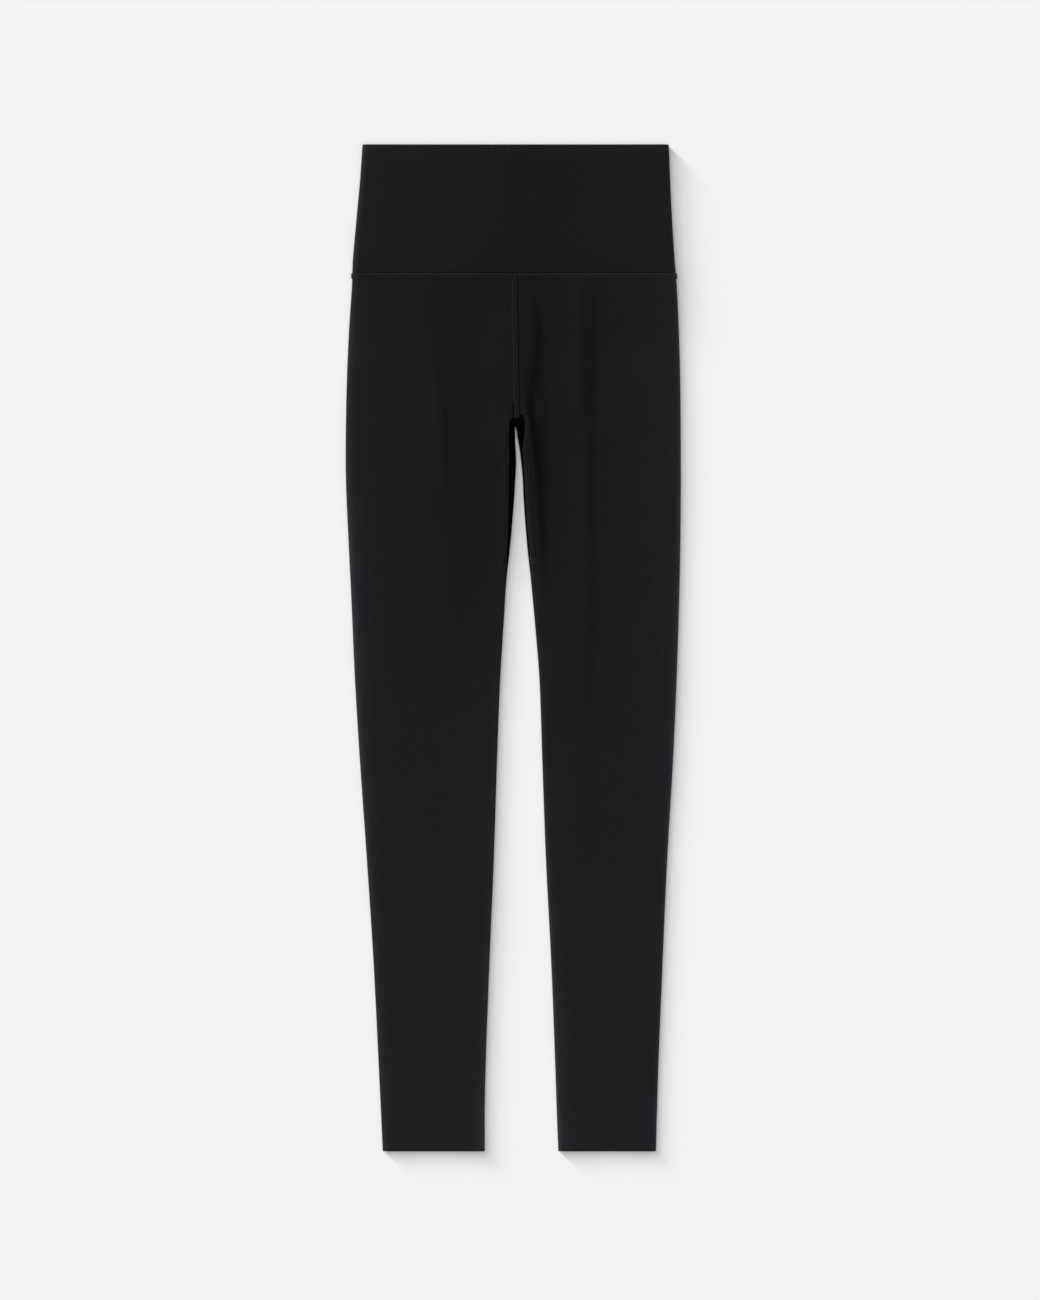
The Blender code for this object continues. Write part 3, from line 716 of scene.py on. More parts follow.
# The long creases. Each is a swelling that climbs slowly from the left and falls off to the right. A row
# of a crease: down, x where the fall is steepest, height, how far the fall reaches before that and past it,
# how far the climb reaches, and the painted shade that deepens the colour in the fall
CREASES = {
    -1: (
        (
            (118.0, -78.0, 0.00, 5.0, 4.0, 50.0, 0.00),
            (151.0, -77.0, 0.28, 5.0, 4.0, 50.0, 0.04),
            (170.0, -75.4, 0.34, 4.5, 4.0, 50.0, 0.05),
            (190.0, -73.0, 0.50, 5.0, 5.0, 50.0, 0.06),
            (209.0, -71.8, 0.74, 5.5, 5.5, 52.0, 0.09),
            (228.0, -69.3, 0.80, 5.0, 5.2, 54.0, 0.11),
            (248.0, -67.8, 0.85, 3.8, 5.2, 56.0, 0.16),
            (267.0, -67.4, 0.90, 4.0, 5.4, 56.0, 0.18),
            (287.0, -65.4, 0.85, 4.8, 5.2, 56.0, 0.14),
            (306.0, -63.0, 0.55, 5.4, 4.8, 56.0, 0.08),
            (325.0, -62.0, 0.25, 6.0, 5.0, 56.0, 0.02),
            (350.0, -60.0, 0.00, 6.0, 5.0, 56.0, 0.00),
        ),
        (
            (215.0, -59.0, 0.00, 6.5, 24.0, 50.0, 0.00),
            (248.0, -59.0, 0.90, 6.5, 24.0, 50.0, 0.05),
            (287.0, -59.0, 1.55, 6.5, 26.0, 50.0, 0.09),
            (325.0, -58.0, 1.80, 6.5, 26.0, 50.0, 0.08),
            (345.0, -56.5, 1.65, 6.5, 26.0, 50.0, 0.06),
            (374.0, -55.0, 1.40, 7.0, 24.0, 50.0, 0.06),
            (403.0, -53.5, 1.20, 7.0, 20.0, 50.0, 0.06),
            (442.0, -51.0, 0.70, 7.0, 18.0, 50.0, 0.03),
            (491.0, -48.0, 0.30, 7.0, 18.0, 50.0, 0.01),
            (560.0, -45.0, 0.00, 7.0, 18.0, 50.0, 0.00),
        ),
    ),
    1: (
        (
            (122.0, 20.5, 0.04, 7.0, 5.0, 300.0, 0.00),
            (141.0, 22.0, 0.26, 6.5, 5.0, 300.0, 0.00),
            (160.0, 23.0, 0.80, 4.4, 4.4, 300.0, 0.16),
            (180.0, 25.2, 1.35, 6.0, 3.2, 300.0, 0.29),
            (199.0, 24.2, 1.60, 6.4, 4.2, 300.0, 0.30),
            (219.0, 21.6, 1.85, 6.6, 6.8, 300.0, 0.32),
            (238.0, 16.4, 1.75, 4.4, 8.4, 300.0, 0.40),
            (252.7, 15.8, 1.90, 3.6, 5.2, 300.0, 0.72),
            (267.0, 17.2, 2.00, 3.2, 6.2, 300.0, 0.84),
            (282.0, 19.4, 2.00, 2.8, 7.4, 300.0, 0.80),
            (296.0, 20.8, 1.95, 2.6, 7.8, 300.0, 0.72),
            (316.0, 23.5, 1.85, 3.2, 7.0, 300.0, 0.58),
            (345.0, 26.6, 1.50, 4.2, 5.0, 300.0, 0.42),
            (384.0, 28.4, 1.00, 3.4, 3.6, 300.0, 0.42),
            (403.0, 28.9, 0.55, 3.4, 3.4, 300.0, 0.26),
            (422.0, 29.6, 0.25, 4.0, 4.0, 300.0, 0.10),
            (446.0, 30.0, 0.00, 4.0, 4.0, 300.0, 0.00),
        ),
        (
            (222.0, 27.0, 0.00, 4.0, 4.5, 12.0, 0.00),
            (240.0, 27.6, 0.26, 3.8, 4.8, 12.0, 0.14),
            (254.0, 28.8, 0.34, 3.6, 5.4, 12.0, 0.24),
            (268.0, 29.2, 0.34, 3.8, 5.4, 12.0, 0.22),
            (292.0, 29.6, 0.20, 4.0, 5.4, 12.0, 0.12),
            (330.0, 31.0, 0.00, 4.0, 5.4, 12.0, 0.00),
        ),
        (
            (122.0, 74.5, 0.00, 7.0, 7.0, 34.0, 0.00),
            (137.0, 74.4, 0.75, 7.0, 7.0, 34.0, 0.08),
            (170.0, 74.4, 1.20, 7.0, 7.0, 34.0, 0.13),
            (200.0, 74.2, 1.50, 7.0, 7.0, 36.0, 0.17),
            (248.0, 73.6, 1.35, 5.8, 6.2, 36.0, 0.17),
            (285.0, 74.8, 0.85, 4.4, 4.6, 36.0, 0.12),
            (345.0, 75.0, 0.85, 4.4, 4.6, 36.0, 0.11),
            (403.0, 75.0, 0.60, 4.6, 4.8, 36.0, 0.08),
            (461.0, 74.6, 0.60, 4.6, 5.0, 36.0, 0.08),
            (540.0, 74.0, 0.50, 5.6, 5.6, 36.0, 0.07),
            (636.0, 73.0, 0.35, 6.0, 6.0, 36.0, 0.05),
            (720.0, 72.6, 0.00, 6.0, 6.0, 36.0, 0.00),
        ),
    ),
}
# Softer ones in the back layer, which the leg's weight presses nearly flat
BACK_CREASES = {
    -1: (
        (
            (150.0, -30.0, 0.0, 6.0, 6.0, 20.0, 0.00),
            (230.0, -34.0, 0.5, 6.0, 6.0, 24.0, 0.10),
            (330.0, -44.0, 0.5, 6.0, 6.0, 24.0, 0.10),
            (470.0, -52.0, 0.0, 6.0, 6.0, 20.0, 0.00),
        ),
    ),
    1: (
        (
            (160.0, 44.0, 0.0, 6.0, 6.0, 20.0, 0.00),
            (250.0, 40.0, 0.5, 5.4, 5.4, 22.0, 0.10),
            (350.0, 50.0, 0.5, 6.0, 6.0, 24.0, 0.10),
            (520.0, 62.0, 0.0, 6.0, 6.0, 20.0, 0.00),
        ),
    ),
}

# Painted light: how light the legs' colour is at each height, paler towards the hems: down, left leg, right
# leg
LEG_PAINTED_LIGHT = (
    (124.4, 0.97, 0.97),
    (165.0, 1.05, 1.01),
    (240.0, 1.04, 0.97),
    (300.0, 1.03, 0.96),
    (480.0, 1.06, 1.02),
    (650.0, 1.17, 1.14),
    (820.0, 1.34, 1.32),
    (976.0, 1.48, 1.46),
)

# Painted light near the folds, as how much paler the colour is: down, left leg, right leg, and on the very
# line of the fold that faces right
OUTER_RIM_LIGHTS = (
    (124.4, 0.40, 0.70, 2.2),
    (220.0, 1.30, 1.10, 2.2),
    (280.0, 1.30, 1.30, 2.1),
    (380.0, 2.40, 1.60, 2.0),
    (560.0, 2.20, 1.50, 1.6),
    (760.0, 1.10, 0.50, 1.6),
    (976.0, 0.70, 0.30, 1.6),
)
# The same painted light near the inner folds
INNER_RIM_LIGHTS = (
    (274.0, 0.0, 0.0, 0.0),
    (345.0, 0.0, 0.1, 0.0),
    (400.0, 0.1, 0.7, 0.0),
    (440.0, 0.2, 0.8, 1.4),
    (520.0, 0.3, 0.7, 1.4),
    (700.0, 0.4, 1.1, 1.4),
    (976.0, 0.8, 1.5, 1.4),
)
# How much deeper the colour is over the inner thighs: down, left leg, right leg
INNER_DEPTHS = (
    (124.4, 0.22, 0.27),
    (150.0, 0.25, 0.30),
    (180.0, 0.30, 0.32),
    (210.0, 0.36, 0.33),
    (300.0, 0.36, 0.32),
    (345.0, 0.34, 0.27),
    (384.0, 0.28, 0.18),
    (422.0, 0.21, 0.15),
    (461.0, 0.15, 0.10),
    (540.0, 0.04, 0.03),
    (620.0, 0.00, 0.00),
)


CLIMB_END = 1.5             # how far before its fall a crease's climb ends, in reaches of the fall

# Painted shade: the colour is deepest where the front seam meets the waist seam
JUNCTION_X = 3.0
JUNCTION_DOWN = 118.0
JUNCTION_ACROSS = 26.0      # how far that reaches each way
JUNCTION_LENGTHWISE = 30.0
JUNCTION_SHADE = 0.29
INNER_DEEP_X = -12.0        # middle of the deeper colour over the inner thighs
INNER_DEEP_REACH = 100.0
INNER_DEEP_POWER = 4        # that gives it square shoulders
# Painted light and shade in strips of the left thigh by its inner fold: how much paler, down of the middle,
# half the length and the fading past it, and the same three in from the fold
THIGH_LIGHT_STRIPS = (
    (0.27, 360.0, 40.0, 70.0, 0.0, 13.0, 6.0),
    (-0.06, 345.0, 15.0, 45.0, 24.0, 0.0, 9.0),
)


def inner_x(side, down):
    return beside(INSIDES, side, down)


def centre_x(down):
    return along(CENTRE, down, 1)


def arch_x(side, down):
    """x of the arch at a distance down between its top and its foot."""
    left = (INSEAM_TOP - down) / (INSEAM_TOP - ARCH_TOP[side])
    power = ARCH_POWER[side]
    return between(centre_x(ARCH_TOP[side]), ARCH_FEET[side], max(1 - left**power, 0.0) ** (1 / power))


def diamond_x(side, down):
    """x of the gusset's seams on the back."""
    if down < INSEAM_TOP:
        top = centre_x(DIAMOND_TOP) + BACK_ASIDE
        corner = inner_x(side, INSEAM_TOP) + side * DIAMOND_REACH
        return between(top, corner, (down - DIAMOND_TOP) / (INSEAM_TOP - DIAMOND_TOP))
    share = (down - INSEAM_TOP) / (GUSSET_END - INSEAM_TOP)
    return inner_x(side, down) + side * between(DIAMOND_REACH, GUSSET_POINT, share)


def front_edge(side, down):
    if down < ARCH_TOP[side]:
        return centre_x(down) + side * SEAM_GAP / 2
    if down < INSEAM_TOP:
        return arch_x(side, down) + side * SEAM_GAP
    return inner_x(side, down) + side * (beside(GUSSET_FRONT, side, down) + SEAM_GAP)


def back_edge(side, down):
    if down < DIAMOND_TOP:
        return centre_x(down) + BACK_ASIDE + side * SEAM_GAP / 2
    return diamond_x(side, down) + side * SEAM_GAP


def from_gap(down, x):
    """How far a place lies from the edge of the gap between the legs."""
    left, right = [inner_x(side, max(down, INSEAM_TOP)) for side in (-1, 1)]
    middle = (left + right) / 2
    if down < INSEAM_TOP:
        return math.hypot(x - middle, INSEAM_TOP - down)
    return abs(x - (right if x > middle else left))


def crease_shape(creases, down, x):
    """The height of the creases at a place, and how much of the colour their painted shade leaves."""
    height, colour = 0.0, 1.0
    for crease in creases:
        if crease[0][0] < down < crease[-1][0]:
            off = x - along(crease, down, 1)
            values = [max(along(crease, down, column), 0.0) for column in range(2, 7)]
            tall, before, past, climb, deep = values
            if off < 0:
                left = past + before * math.erf(-off / before)
                left *= (1 - min(max(-off - CLIMB_END * before, 0.0) / climb, 1.0)) ** 2
            else:
                left = past * (1 - math.erf(off / past))
            height += tall * left / (before + past)
            # painted shade in the crease's fall
            colour *= 1 - deep * bell(off, before if off < 0 else past)
    return height, colour


def crest(down):
    """How far the cloth is lifted along the centre front and the inner thighs."""
    return max(along(CREASES[1][0], down, 2), 0.0) if down < CREASES[1][0][-1][0] else 0.0


def side_level(down):
    """Thickness of a leg beside its outer fold."""
    below = down - BAND_HEIGHT
    level = between(LEG_SIDE, HEM_SIDE, below / (LENGTH - BAND_HEIGHT))
    return level + (BAND_SIDE - level) * fade(below, STEP_DOWN)


def front_height(side, down, x):
    """Height of the front's face above the floor, away from its folds."""
    below = down - BAND_HEIGHT
    outer = abs(outer_x(side, down) - x)
    flat = LEG_MIDDLE + (BAND_MIDDLE - LEG_MIDDLE) * fade(below, STEP_DOWN)
    height = flat + (side_level(down) - flat) * fade(outer - OUTER_FOLD_OVER, SIDE_FADE)
    raised = crease_shape(CREASES[side], down, x)[0]
    if side < 0:
        below_crotch = 1 - fade(down - CREST_TURN, CREST_TURN_REACH)
        crest_x = between(centre_x(down), inner_x(side, down) - CREST_IN, below_crotch)
        raised += crest(down) * fade(max(crest_x - x, 0.0), CREST_REACH)
    height += raised * (1 - fade(outer - NO_CREASES, CREASES_FORM))
    inner = (LEG_INSIDE - flat) * fade(from_gap(down, x) - INNER_FOLD_OVER, INNER_FADE)
    height += inner * (1 - fade(down - INSEAM_TOP + INNER_START, INNER_GROWTH))
    uneven = between(UNEVEN, LEG_UNEVEN, 1 - fade(below, LEG_UNEVEN_START))
    uneven *= fade(down - LEG_UNEVEN_END, LEG_UNEVEN_FADE)
    return height + uneven * unevenness(x, down)


def front_tone(side, down, x):
    """How light the front's colour is: painted light at the folds and by the left inner fold, painted shade
    in the creases and at the seams' junction, and deeper over the inner thighs.
    """
    outer, gap = abs(outer_x(side, down) - x), from_gap(down, x)
    tone = crease_shape(CREASES[side], down, x)[1]
    tone *= beside(LEG_PAINTED_LIGHT, side, down)
    tone *= 1 + beside(OUTER_RIM_LIGHTS, side, down) * rim_light(outer)
    if side > 0:
        tone *= painted_fold_light(outer, along(OUTER_RIM_LIGHTS, down, 3))
    if down > INSEAM_TOP:
        tone *= 1 + beside(INNER_RIM_LIGHTS, side, down) * rim_light(gap)
        if side < 0:
            tone *= painted_fold_light(gap, along(INNER_RIM_LIGHTS, down, 3))
    across, lengthwise = (x - JUNCTION_X) / JUNCTION_ACROSS, (down - JUNCTION_DOWN) / JUNCTION_LENGTHWISE
    tone *= 1 - JUNCTION_SHADE * bell(math.hypot(across, lengthwise), 1.0)
    inner = math.exp(-(((x - INNER_DEEP_X) / INNER_DEEP_REACH) ** INNER_DEEP_POWER))
    tone *= 1 - beside(INNER_DEPTHS, side, down) * inner
    if side < 0:
        for paler, middle, half, past, middle_in, half_in, past_in in THIGH_LIGHT_STRIPS:
            length_left = fade(abs(down - middle) - half, past)
            tone *= 1 + paler * length_left * fade(abs(gap - middle_in) - half_in, past_in)
    return tone


def furrows(distance, rows):
    """The dents that rows of stitches pull into the cloth, from 0 to 1."""
    return sum(bell(distance - row, FURROW_WIDTH) for row in rows)


def strip(distance, width):
    """1 on a flat stitched strip that starts at an edge, easing to 0 off it."""
    return fade(distance - width + STRIP_EDGE, 2 * STRIP_EDGE)


def leg_path(side, down):
    """The leg's outline across a cut, as (x, z), without its sewing.

    It goes from the middle of the inner fold, or above the crotch from the front edge, over the front to
    the outer fold and back along the floor. The last two values are the numbers of the points where the
    outer fold starts and ends.
    """
    outer = outer_x(side, down) + side * WAIST_STRIP_PROUD * strip(down - BAND_HEIGHT, WAIST_STRIP)
    last = outer - side * OUTER_FOLD_OVER
    start, end = front_edge(side, down), back_edge(side, down)
    points = []
    if down >= INSEAM_TOP:
        inner = inner_x(side, down)
        start, end = inner + side * INNER_FOLD_OVER, inner + side * INNER_FOLD_UNDER
        level = front_height(side, down, start)
        rest = level * OUTER_FOLD_AT
        for cosine, sine in quarter(INNER_OVER_STEPS)[:-1]:
            points.append((inner + side * INNER_FOLD_OVER * (1 - cosine), rest + (level - rest) * sine))
    points += [(x, front_height(side, down, x)) for x in spaced(start, last, FRONT_STEPS)]
    over_start = len(points) - 1
    high = points[-1][1]
    middle = high * OUTER_FOLD_AT
    for cosine, sine in quarter(OUTER_OVER_STEPS)[1:]:
        points.append((last + side * OUTER_FOLD_OVER * sine, middle + (high - middle) * cosine))
    for cosine, sine in quarter(OUTER_UNDER_STEPS)[1:]:
        points.append((outer - side * OUTER_FOLD_UNDER * (1 - cosine), middle * (1 - sine)))
    under_end = len(points) - 1
    points += [(x, 0.0) for x in spaced(outer - side * OUTER_FOLD_UNDER, end, BACK_STEPS)[1:]]
    if down >= INSEAM_TOP:
        for cosine, sine in quarter(INNER_UNDER_STEPS)[1:]:
            points.append((inner + side * INNER_FOLD_UNDER * (1 - sine), rest * (1 - cosine)))
    return points, over_start, under_end


def leg_outline(side, down):
    """(lengths, xs, zs) along a leg's outline, the ends of its outer fold, and the part the leg covers.

    The leg covers it from its front edge to its back edge. Below the gusset both lie in the inseam, a
    little behind the inner fold, where the front edge has a negative length.
    """
    points, over_start, under_end = leg_path(side, down)
    xs, zs = numpy.array(points).T
    lengths = lengths_along(points)
    first, last = 0.0, lengths[-1]
    if down >= INSEAM_TOP:
        seam_down = min(down, GUSSET_END)
        inner = inner_x(side, down)
        front_reach = abs(front_edge(side, seam_down) - inner_x(side, seam_down))
        back_reach = abs(back_edge(side, seam_down) - inner_x(side, seam_down))
        first = float(numpy.interp(front_reach, side * (xs[:over_start] - inner), lengths[:over_start]))
        under = slice(under_end, len(xs))
        last = float(numpy.interp(-back_reach, side * (inner - xs[under]), lengths[under]))
        slide = 1 - fade(down - GUSSET_END, INSEAM_START - GUSSET_END)
        first = between(first, SEAM_GAP / 2 - INSEAM_BACK, slide)
        last = between(last, lengths[-1] - INSEAM_BACK - SEAM_GAP / 2, slide)
    return (lengths, xs, zs), (over_start, under_end), (first, last)


def on_outline(outline, at):
    """(x, z) where the outline has a length, and past its start where it is closed."""
    lengths, xs, zs = outline
    around = numpy.where(numpy.less(at, 0.0), numpy.add(at, lengths[-1]), at)
    return numpy.interp(around, lengths, xs), numpy.interp(around, lengths, zs)


def leg_columns(side, down, outline, numbers, ends):
    """The lengths along a leg's outline where its mesh has columns, closest beside the seams."""
    lengths, xs = outline[:2]
    over_start, under_end = numbers
    over, under = lengths[over_start], lengths[under_end]
    columns = [ends[0] + step for step in STRIP_COLUMNS]
    drift = inner_x(side, max(down, INSEAM_TOP)) - inner_x(side, INSEAM_TOP)
    near_x = NEAR_MIDDLE + side * NEAR_REACH + drift
    near = float(numpy.interp(side * near_x, side * xs[:over_start], lengths[:over_start]))
    near = min(near, between(columns[-1], over, 0.5))
    columns += spaced(columns[-1], near, NEAR_COLUMNS)[1:]
    columns += spaced(near, over, FAR_COLUMNS)[1:-1]
    columns += list(lengths[over_start:under_end + 1:FOLD_SKIP])
    columns += spaced(under, ends[1] - BACK_STRIP_COLUMNS[0], BACK_COLUMNS)[1:-1]
    return numpy.array(columns + [ends[1] - step for step in BACK_STRIP_COLUMNS])


def sewn_front(side, down, x, from_edge):
    """What the sewing does to the front of a leg: how far it lifts the face, and the tone it leaves, with
    painted light on the strips and painted shade in the dents and the notch.
    """
    on_waist = strip(down - BAND_HEIGHT, WAIST_STRIP)
    raised = WAIST_RAISE * on_waist
    raised += OVERLAP_RAISE * on_waist * strip(abs(x - OVERLAP_MIDDLE), OVERLAP_HALF)
    dent = on_waist * sum(bell(x - spot, DENT_WIDTH) for spot in CLOSING_DENTS)
    lift, tone, on_strip = -DENT_DEPTH * dent, 1 - DENT_SHADE * dent, on_waist
    if side < 0 or down > ARCH_TOP[1]:
        shown = (1 - on_waist) * fade(down - GUSSET_END, STRIP_END)
        if side < 0 and down > ARCH_TOP[-1]:
            shown *= LEFT_THIGH_STRIP * (1 - fade(down - LEFT_STRIP_START, LEFT_STRIP_GROWTH))
        on_seam = strip(from_edge, STRIP_WIDTH) * shown
        raised = max(raised, SEAM_RAISE * on_seam)
        on_strip = max(on_strip, on_seam)
        lift -= FURROW_DEPTH * furrows(from_edge, STITCH_ROWS) * shown
    tone *= 1 + STRIP_PAINTED_LIGHT * on_strip
    if side < 0:
        notch = bell(centre_x(down) - NOTCH_IN - x, NOTCH_WIDTH)
        notch *= fade(abs(down - NOTCH_DOWN) - NOTCH_LENGTH, NOTCH_LENGTH)
        lift -= NOTCH_DEPTH * notch
        tone *= 1 - NOTCH_SHADE * notch
    return lift + raised, tone


def leg_row(side, down):
    """One cut across a leg, from its front edge to its back edge: (place, map, tone) for each column."""
    outline, numbers, ends = leg_outline(side, down)
    lengths, over_start = outline[0], numbers[0]
    columns = leg_columns(side, down, outline, numbers, ends)
    xs, zs = on_outline(outline, columns)
    open_start = 0.0 if down < INSEAM_TOP else -lengths[-1]
    ahead = on_outline(outline, numpy.minimum(columns + SLOPE_REACH, lengths[-1]))
    behind = on_outline(outline, numpy.maximum(columns - SLOPE_REACH, open_start))
    across_x, across_z = ahead[0] - behind[0], ahead[1] - behind[1]
    scale = numpy.maximum(numpy.hypot(across_x, across_z), 1e-9)
    out_x, out_z = -side * across_z / scale, side * across_x / scale

    below = down - BAND_HEIGHT
    middle = lengths[over_start + OUTER_OVER_STEPS]
    shift = side * outline[1][over_start] - lengths[over_start]
    row = []
    for at, x, z, nx, nz in zip(columns, xs, zs, out_x, out_z):
        from_edge, to_end = at - ends[0], ends[1] - at
        lift = -WAIST_ROLL_DEPTH * fade(below, WAIST_ROLL_REACH)
        lift -= ROLL_DEPTH * fade(min(from_edge, to_end), ROLL_REACH)
        lift -= HEM_ROLL * fade(LENGTH - down, HEM_ROLL_REACH)
        lift -= FURROW_DEPTH * furrows(below, WAIST_STITCH_ROWS)
        # The tone of each column carries painted light and shade, of the folds, creases and seams
        if at < middle:
            sewn, colour = sewn_front(side, down, x, from_edge)
            lift += sewn
            tone = front_tone(side, down, x) * colour
        else:
            if side < 0 or down > DIAMOND_TOP:
                lift -= FURROW_DEPTH * furrows(to_end, STITCH_ROWS) * (1 - strip(below, WAIST_STRIP))
            creased, colour = crease_shape(BACK_CREASES[side], down, x)
            reach = min(abs(x - outer_x(side, down)), abs(x - back_edge(side, min(down, GUSSET_END))))
            z += creased * (1 - fade(reach - BACK_NO_CREASES, CREASES_FORM))
            tone = beside(LEG_PAINTED_LIGHT, side, down) * colour
        row.append((place(x + nx * lift, down, z + nz * lift), ((at + shift) * MM, down * MM), tone))
    return row


def row_runs(runs, end):
    """Rows in runs of equal spaces, each run given by its start and its number of spaces."""
    stops = [start for start, spaces in runs[1:]] + [end]
    return [row for (start, spaces), stop in zip(runs, stops) for row in spaced(start, stop, spaces)[:-1]]


def leg_rows():
    """How far down each cut of a leg lies: close together over the waist strip and round the crotch."""
    first_stitches, second_stitches = [BAND_HEIGHT + row for row in WAIST_STITCH_ROWS]
    top = BAND_HEIGHT + SEAM_GAP / 2
    above_arch = ((top, 6), (first_stitches, 7), (second_stitches, 5), (130.6, 42), (250.0, 9))
    below_arch = ((INSEAM_TOP, 7), (280.0, 46), (400.0, 18), (427.0, 110), (970.0, 6))
    rows = row_runs(above_arch, ARCH_TOP[1])
    for start, end in ((ARCH_TOP[1], ARCH_TOP[-1]), (ARCH_TOP[-1], INSEAM_TOP)):
        rows.append(start - ARCH_EDGE)
        rows += [between(start, end, 1 - cosine) for cosine, sine in quarter(ARCH_ROWS)[:-1]]
    return rows + row_runs(below_arch, LENGTH) + [LENGTH]


leg_knit = knit_material("leg_knit", KNIT_COLOUR, KNIT_ROUGHNESS, KNIT_SPECULAR)
leg_downs = leg_rows()
leg_grids = {}
for name, side in (("leg_left", -1), ("leg_right", 1)):
    leg_grids[side] = [leg_row(side, down) for down in leg_downs]
    leg = add_cloth(name + "_knit", cloth_sheet(leg_grids[side], outside_up=side > 0), leg_knit)
    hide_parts(name)


# --- Gusset --------------------------------------------------------------------------------------------
# One long diamond of the same knit, coloured near black as painted shade for the deep shadow between the
# thighs, folded lengthwise round the edge of both thighs and over the crotch, and sewn to the legs along
# all four edges.

# Painted shade: a near black colour and little gloss, for the deep shade that the gusset lies in
GUSSET_SHADE_COLOUR = (0.0006, 0.0006, 0.0007)
GUSSET_ROUGHNESS = 0.8
GUSSET_SPECULAR = 0.01
GUSSET_SUNK = 0.12          # its face lies this much lower than the legs'
EDGE_COLUMNS = (0.0, 0.25, 0.5, 0.8, 1.2)   # in from each of its seams
EDGE_FULL = 6.0             # a cut narrower than this has its edge columns closer together
GUSSET_STEPS = 24           # between these columns
GUSSET_SLOPE_REACH = 0.1
ARCH_STEPS = 14             # cuts from the centre to each foot of the arch
LEFT_START = 0.2            # the step of the first cut left of the centre line
THIGH_STEPS = 60            # cuts down each thigh
THIGH_END = 1.5             # above the top of the inseam
THIGH_POINTS = 80           # of a cut round a thigh
# Steps of a cut at the crotch: along the front, over and under the fold, and along the back
CROTCH_FRONT_STEPS = 20
CROTCH_OVER_STEPS = 30
CROTCH_UNDER_STEPS = 20
CROTCH_BACK_STEPS = 30


def gusset_row(points, rest):
    """One cut of the gusset from its front seam to its back seam through close points (x, down, z).

    Its face looks down where it lies lower than the rest height.
    """
    spots = numpy.array(points)
    lengths = lengths_along(spots)
    total = lengths[-1]

    def spot_at(length):
        return [float(numpy.interp(length, lengths, spots[:, axis])) for axis in range(3)]

    edge = [step * min(1.0, total / EDGE_FULL) for step in EDGE_COLUMNS]
    inside = spaced(edge[-1], total - edge[-1], GUSSET_STEPS)[1:-1]
    row = []
    for at in edge + inside + [total - step for step in reversed(edge)]:
        x, down, z = spot_at(at)
        ahead, behind = spot_at(at + GUSSET_SLOPE_REACH), spot_at(at - GUSSET_SLOPE_REACH)
        across, downward, up = [end - start for end, start in zip(ahead, behind)]
        level = math.hypot(across, downward)
        scale = max(math.hypot(level, up), 1e-9)
        sunk = GUSSET_SUNK + (ROLL_DEPTH - GUSSET_SUNK) * fade(min(at, total - at), ROLL_REACH)
        z += sunk * level / scale * (1 if z < rest else -1)
        row.append((place(x, down, z), (at * MM, down * MM), 1.0))
    return row


def thigh_cut(side, down):
    outline, numbers, (first, last) = leg_outline(side, down)
    start, end = first - SEAM_GAP, last - outline[0][-1] + SEAM_GAP
    xs, zs = on_outline(outline, numpy.linspace(start, end, THIGH_POINTS))
    return gusset_row([(x, down, z) for x, z in zip(xs, zs)], outline[2][0])


def crotch_cut(side, step):
    """A cut that fans out from the top of the gap, a number of steps from the centre."""
    turn = math.pi / 2 * step / ARCH_STEPS
    left, right = inner_x(-1, INSEAM_TOP), inner_x(1, INSEAM_TOP)
    tip = (right - left) / 2
    fold = ((left + right) / 2 + side * tip * math.sin(turn), INSEAM_TOP - tip * math.cos(turn))
    down = between(INSEAM_TOP, ARCH_TOP[side], math.cos(turn) ** (2 / ARCH_POWER[side]))
    front = (arch_x(side, down), down)
    back_down = between(DIAMOND_TOP, INSEAM_TOP, step / ARCH_STEPS)
    back = (diamond_x(side, back_down), back_down)

    def toward(end, reach):
        share = reach / math.dist(fold, end)
        return between(fold[0], end[0], share), between(fold[1], end[1], share)

    x, down = toward(front, INNER_FOLD_OVER)
    level = front_height(side, down, x)
    rest = level * OUTER_FOLD_AT
    points = []
    for reach in spaced(math.dist(fold, front), INNER_FOLD_OVER, CROTCH_FRONT_STEPS)[:-1]:
        x, down = toward(front, reach)
        points.append((x, down, front_height(side, down, x)))
    for cosine, sine in reversed(quarter(CROTCH_OVER_STEPS)):
        points.append((*toward(front, INNER_FOLD_OVER * (1 - cosine)), rest + (level - rest) * sine))
    for cosine, sine in quarter(CROTCH_UNDER_STEPS)[1:]:
        points.append((*toward(back, INNER_FOLD_UNDER * (1 - cosine)), rest * (1 - sine)))
    for reach in spaced(INNER_FOLD_UNDER, math.dist(fold, back), CROTCH_BACK_STEPS)[1:]:
        points.append((*toward(back, reach), 0.0))
    return gusset_row(points, rest)


thigh_downs = spaced(INSEAM_TOP, INSEAM_START - THIGH_END, THIGH_STEPS)[1:]
cuts = [thigh_cut(-1, down) for down in reversed(thigh_downs)]
cuts += [crotch_cut(-1, step) for step in [*range(ARCH_STEPS, 0, -1), LEFT_START]]
cuts += [crotch_cut(1, step) for step in range(ARCH_STEPS + 1)]
cuts += [thigh_cut(1, down) for down in thigh_downs]
gusset_knit = knit_material("gusset_knit", GUSSET_SHADE_COLOUR, GUSSET_ROUGHNESS, GUSSET_SPECULAR)
gusset = add_cloth("gusset_knit", cloth_sheet(cuts, outside_up=False), gusset_knit)
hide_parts("gusset")


# --- Stitching -----------------------------------------------------------------------------------------
# Flat coverstitch seams in black polyester thread: two rows of short stitches on the face of each seam,
# with a finer thread laced between them. The strip under the waist seam goes all round and is closed just
# past the centre front, with a few stitches across it.

STITCH = 2.2                # from one stitch to the next
THREAD = 0.19               # radius of the thread of a row
LACING = 0.10               # radius of the thread between two rows
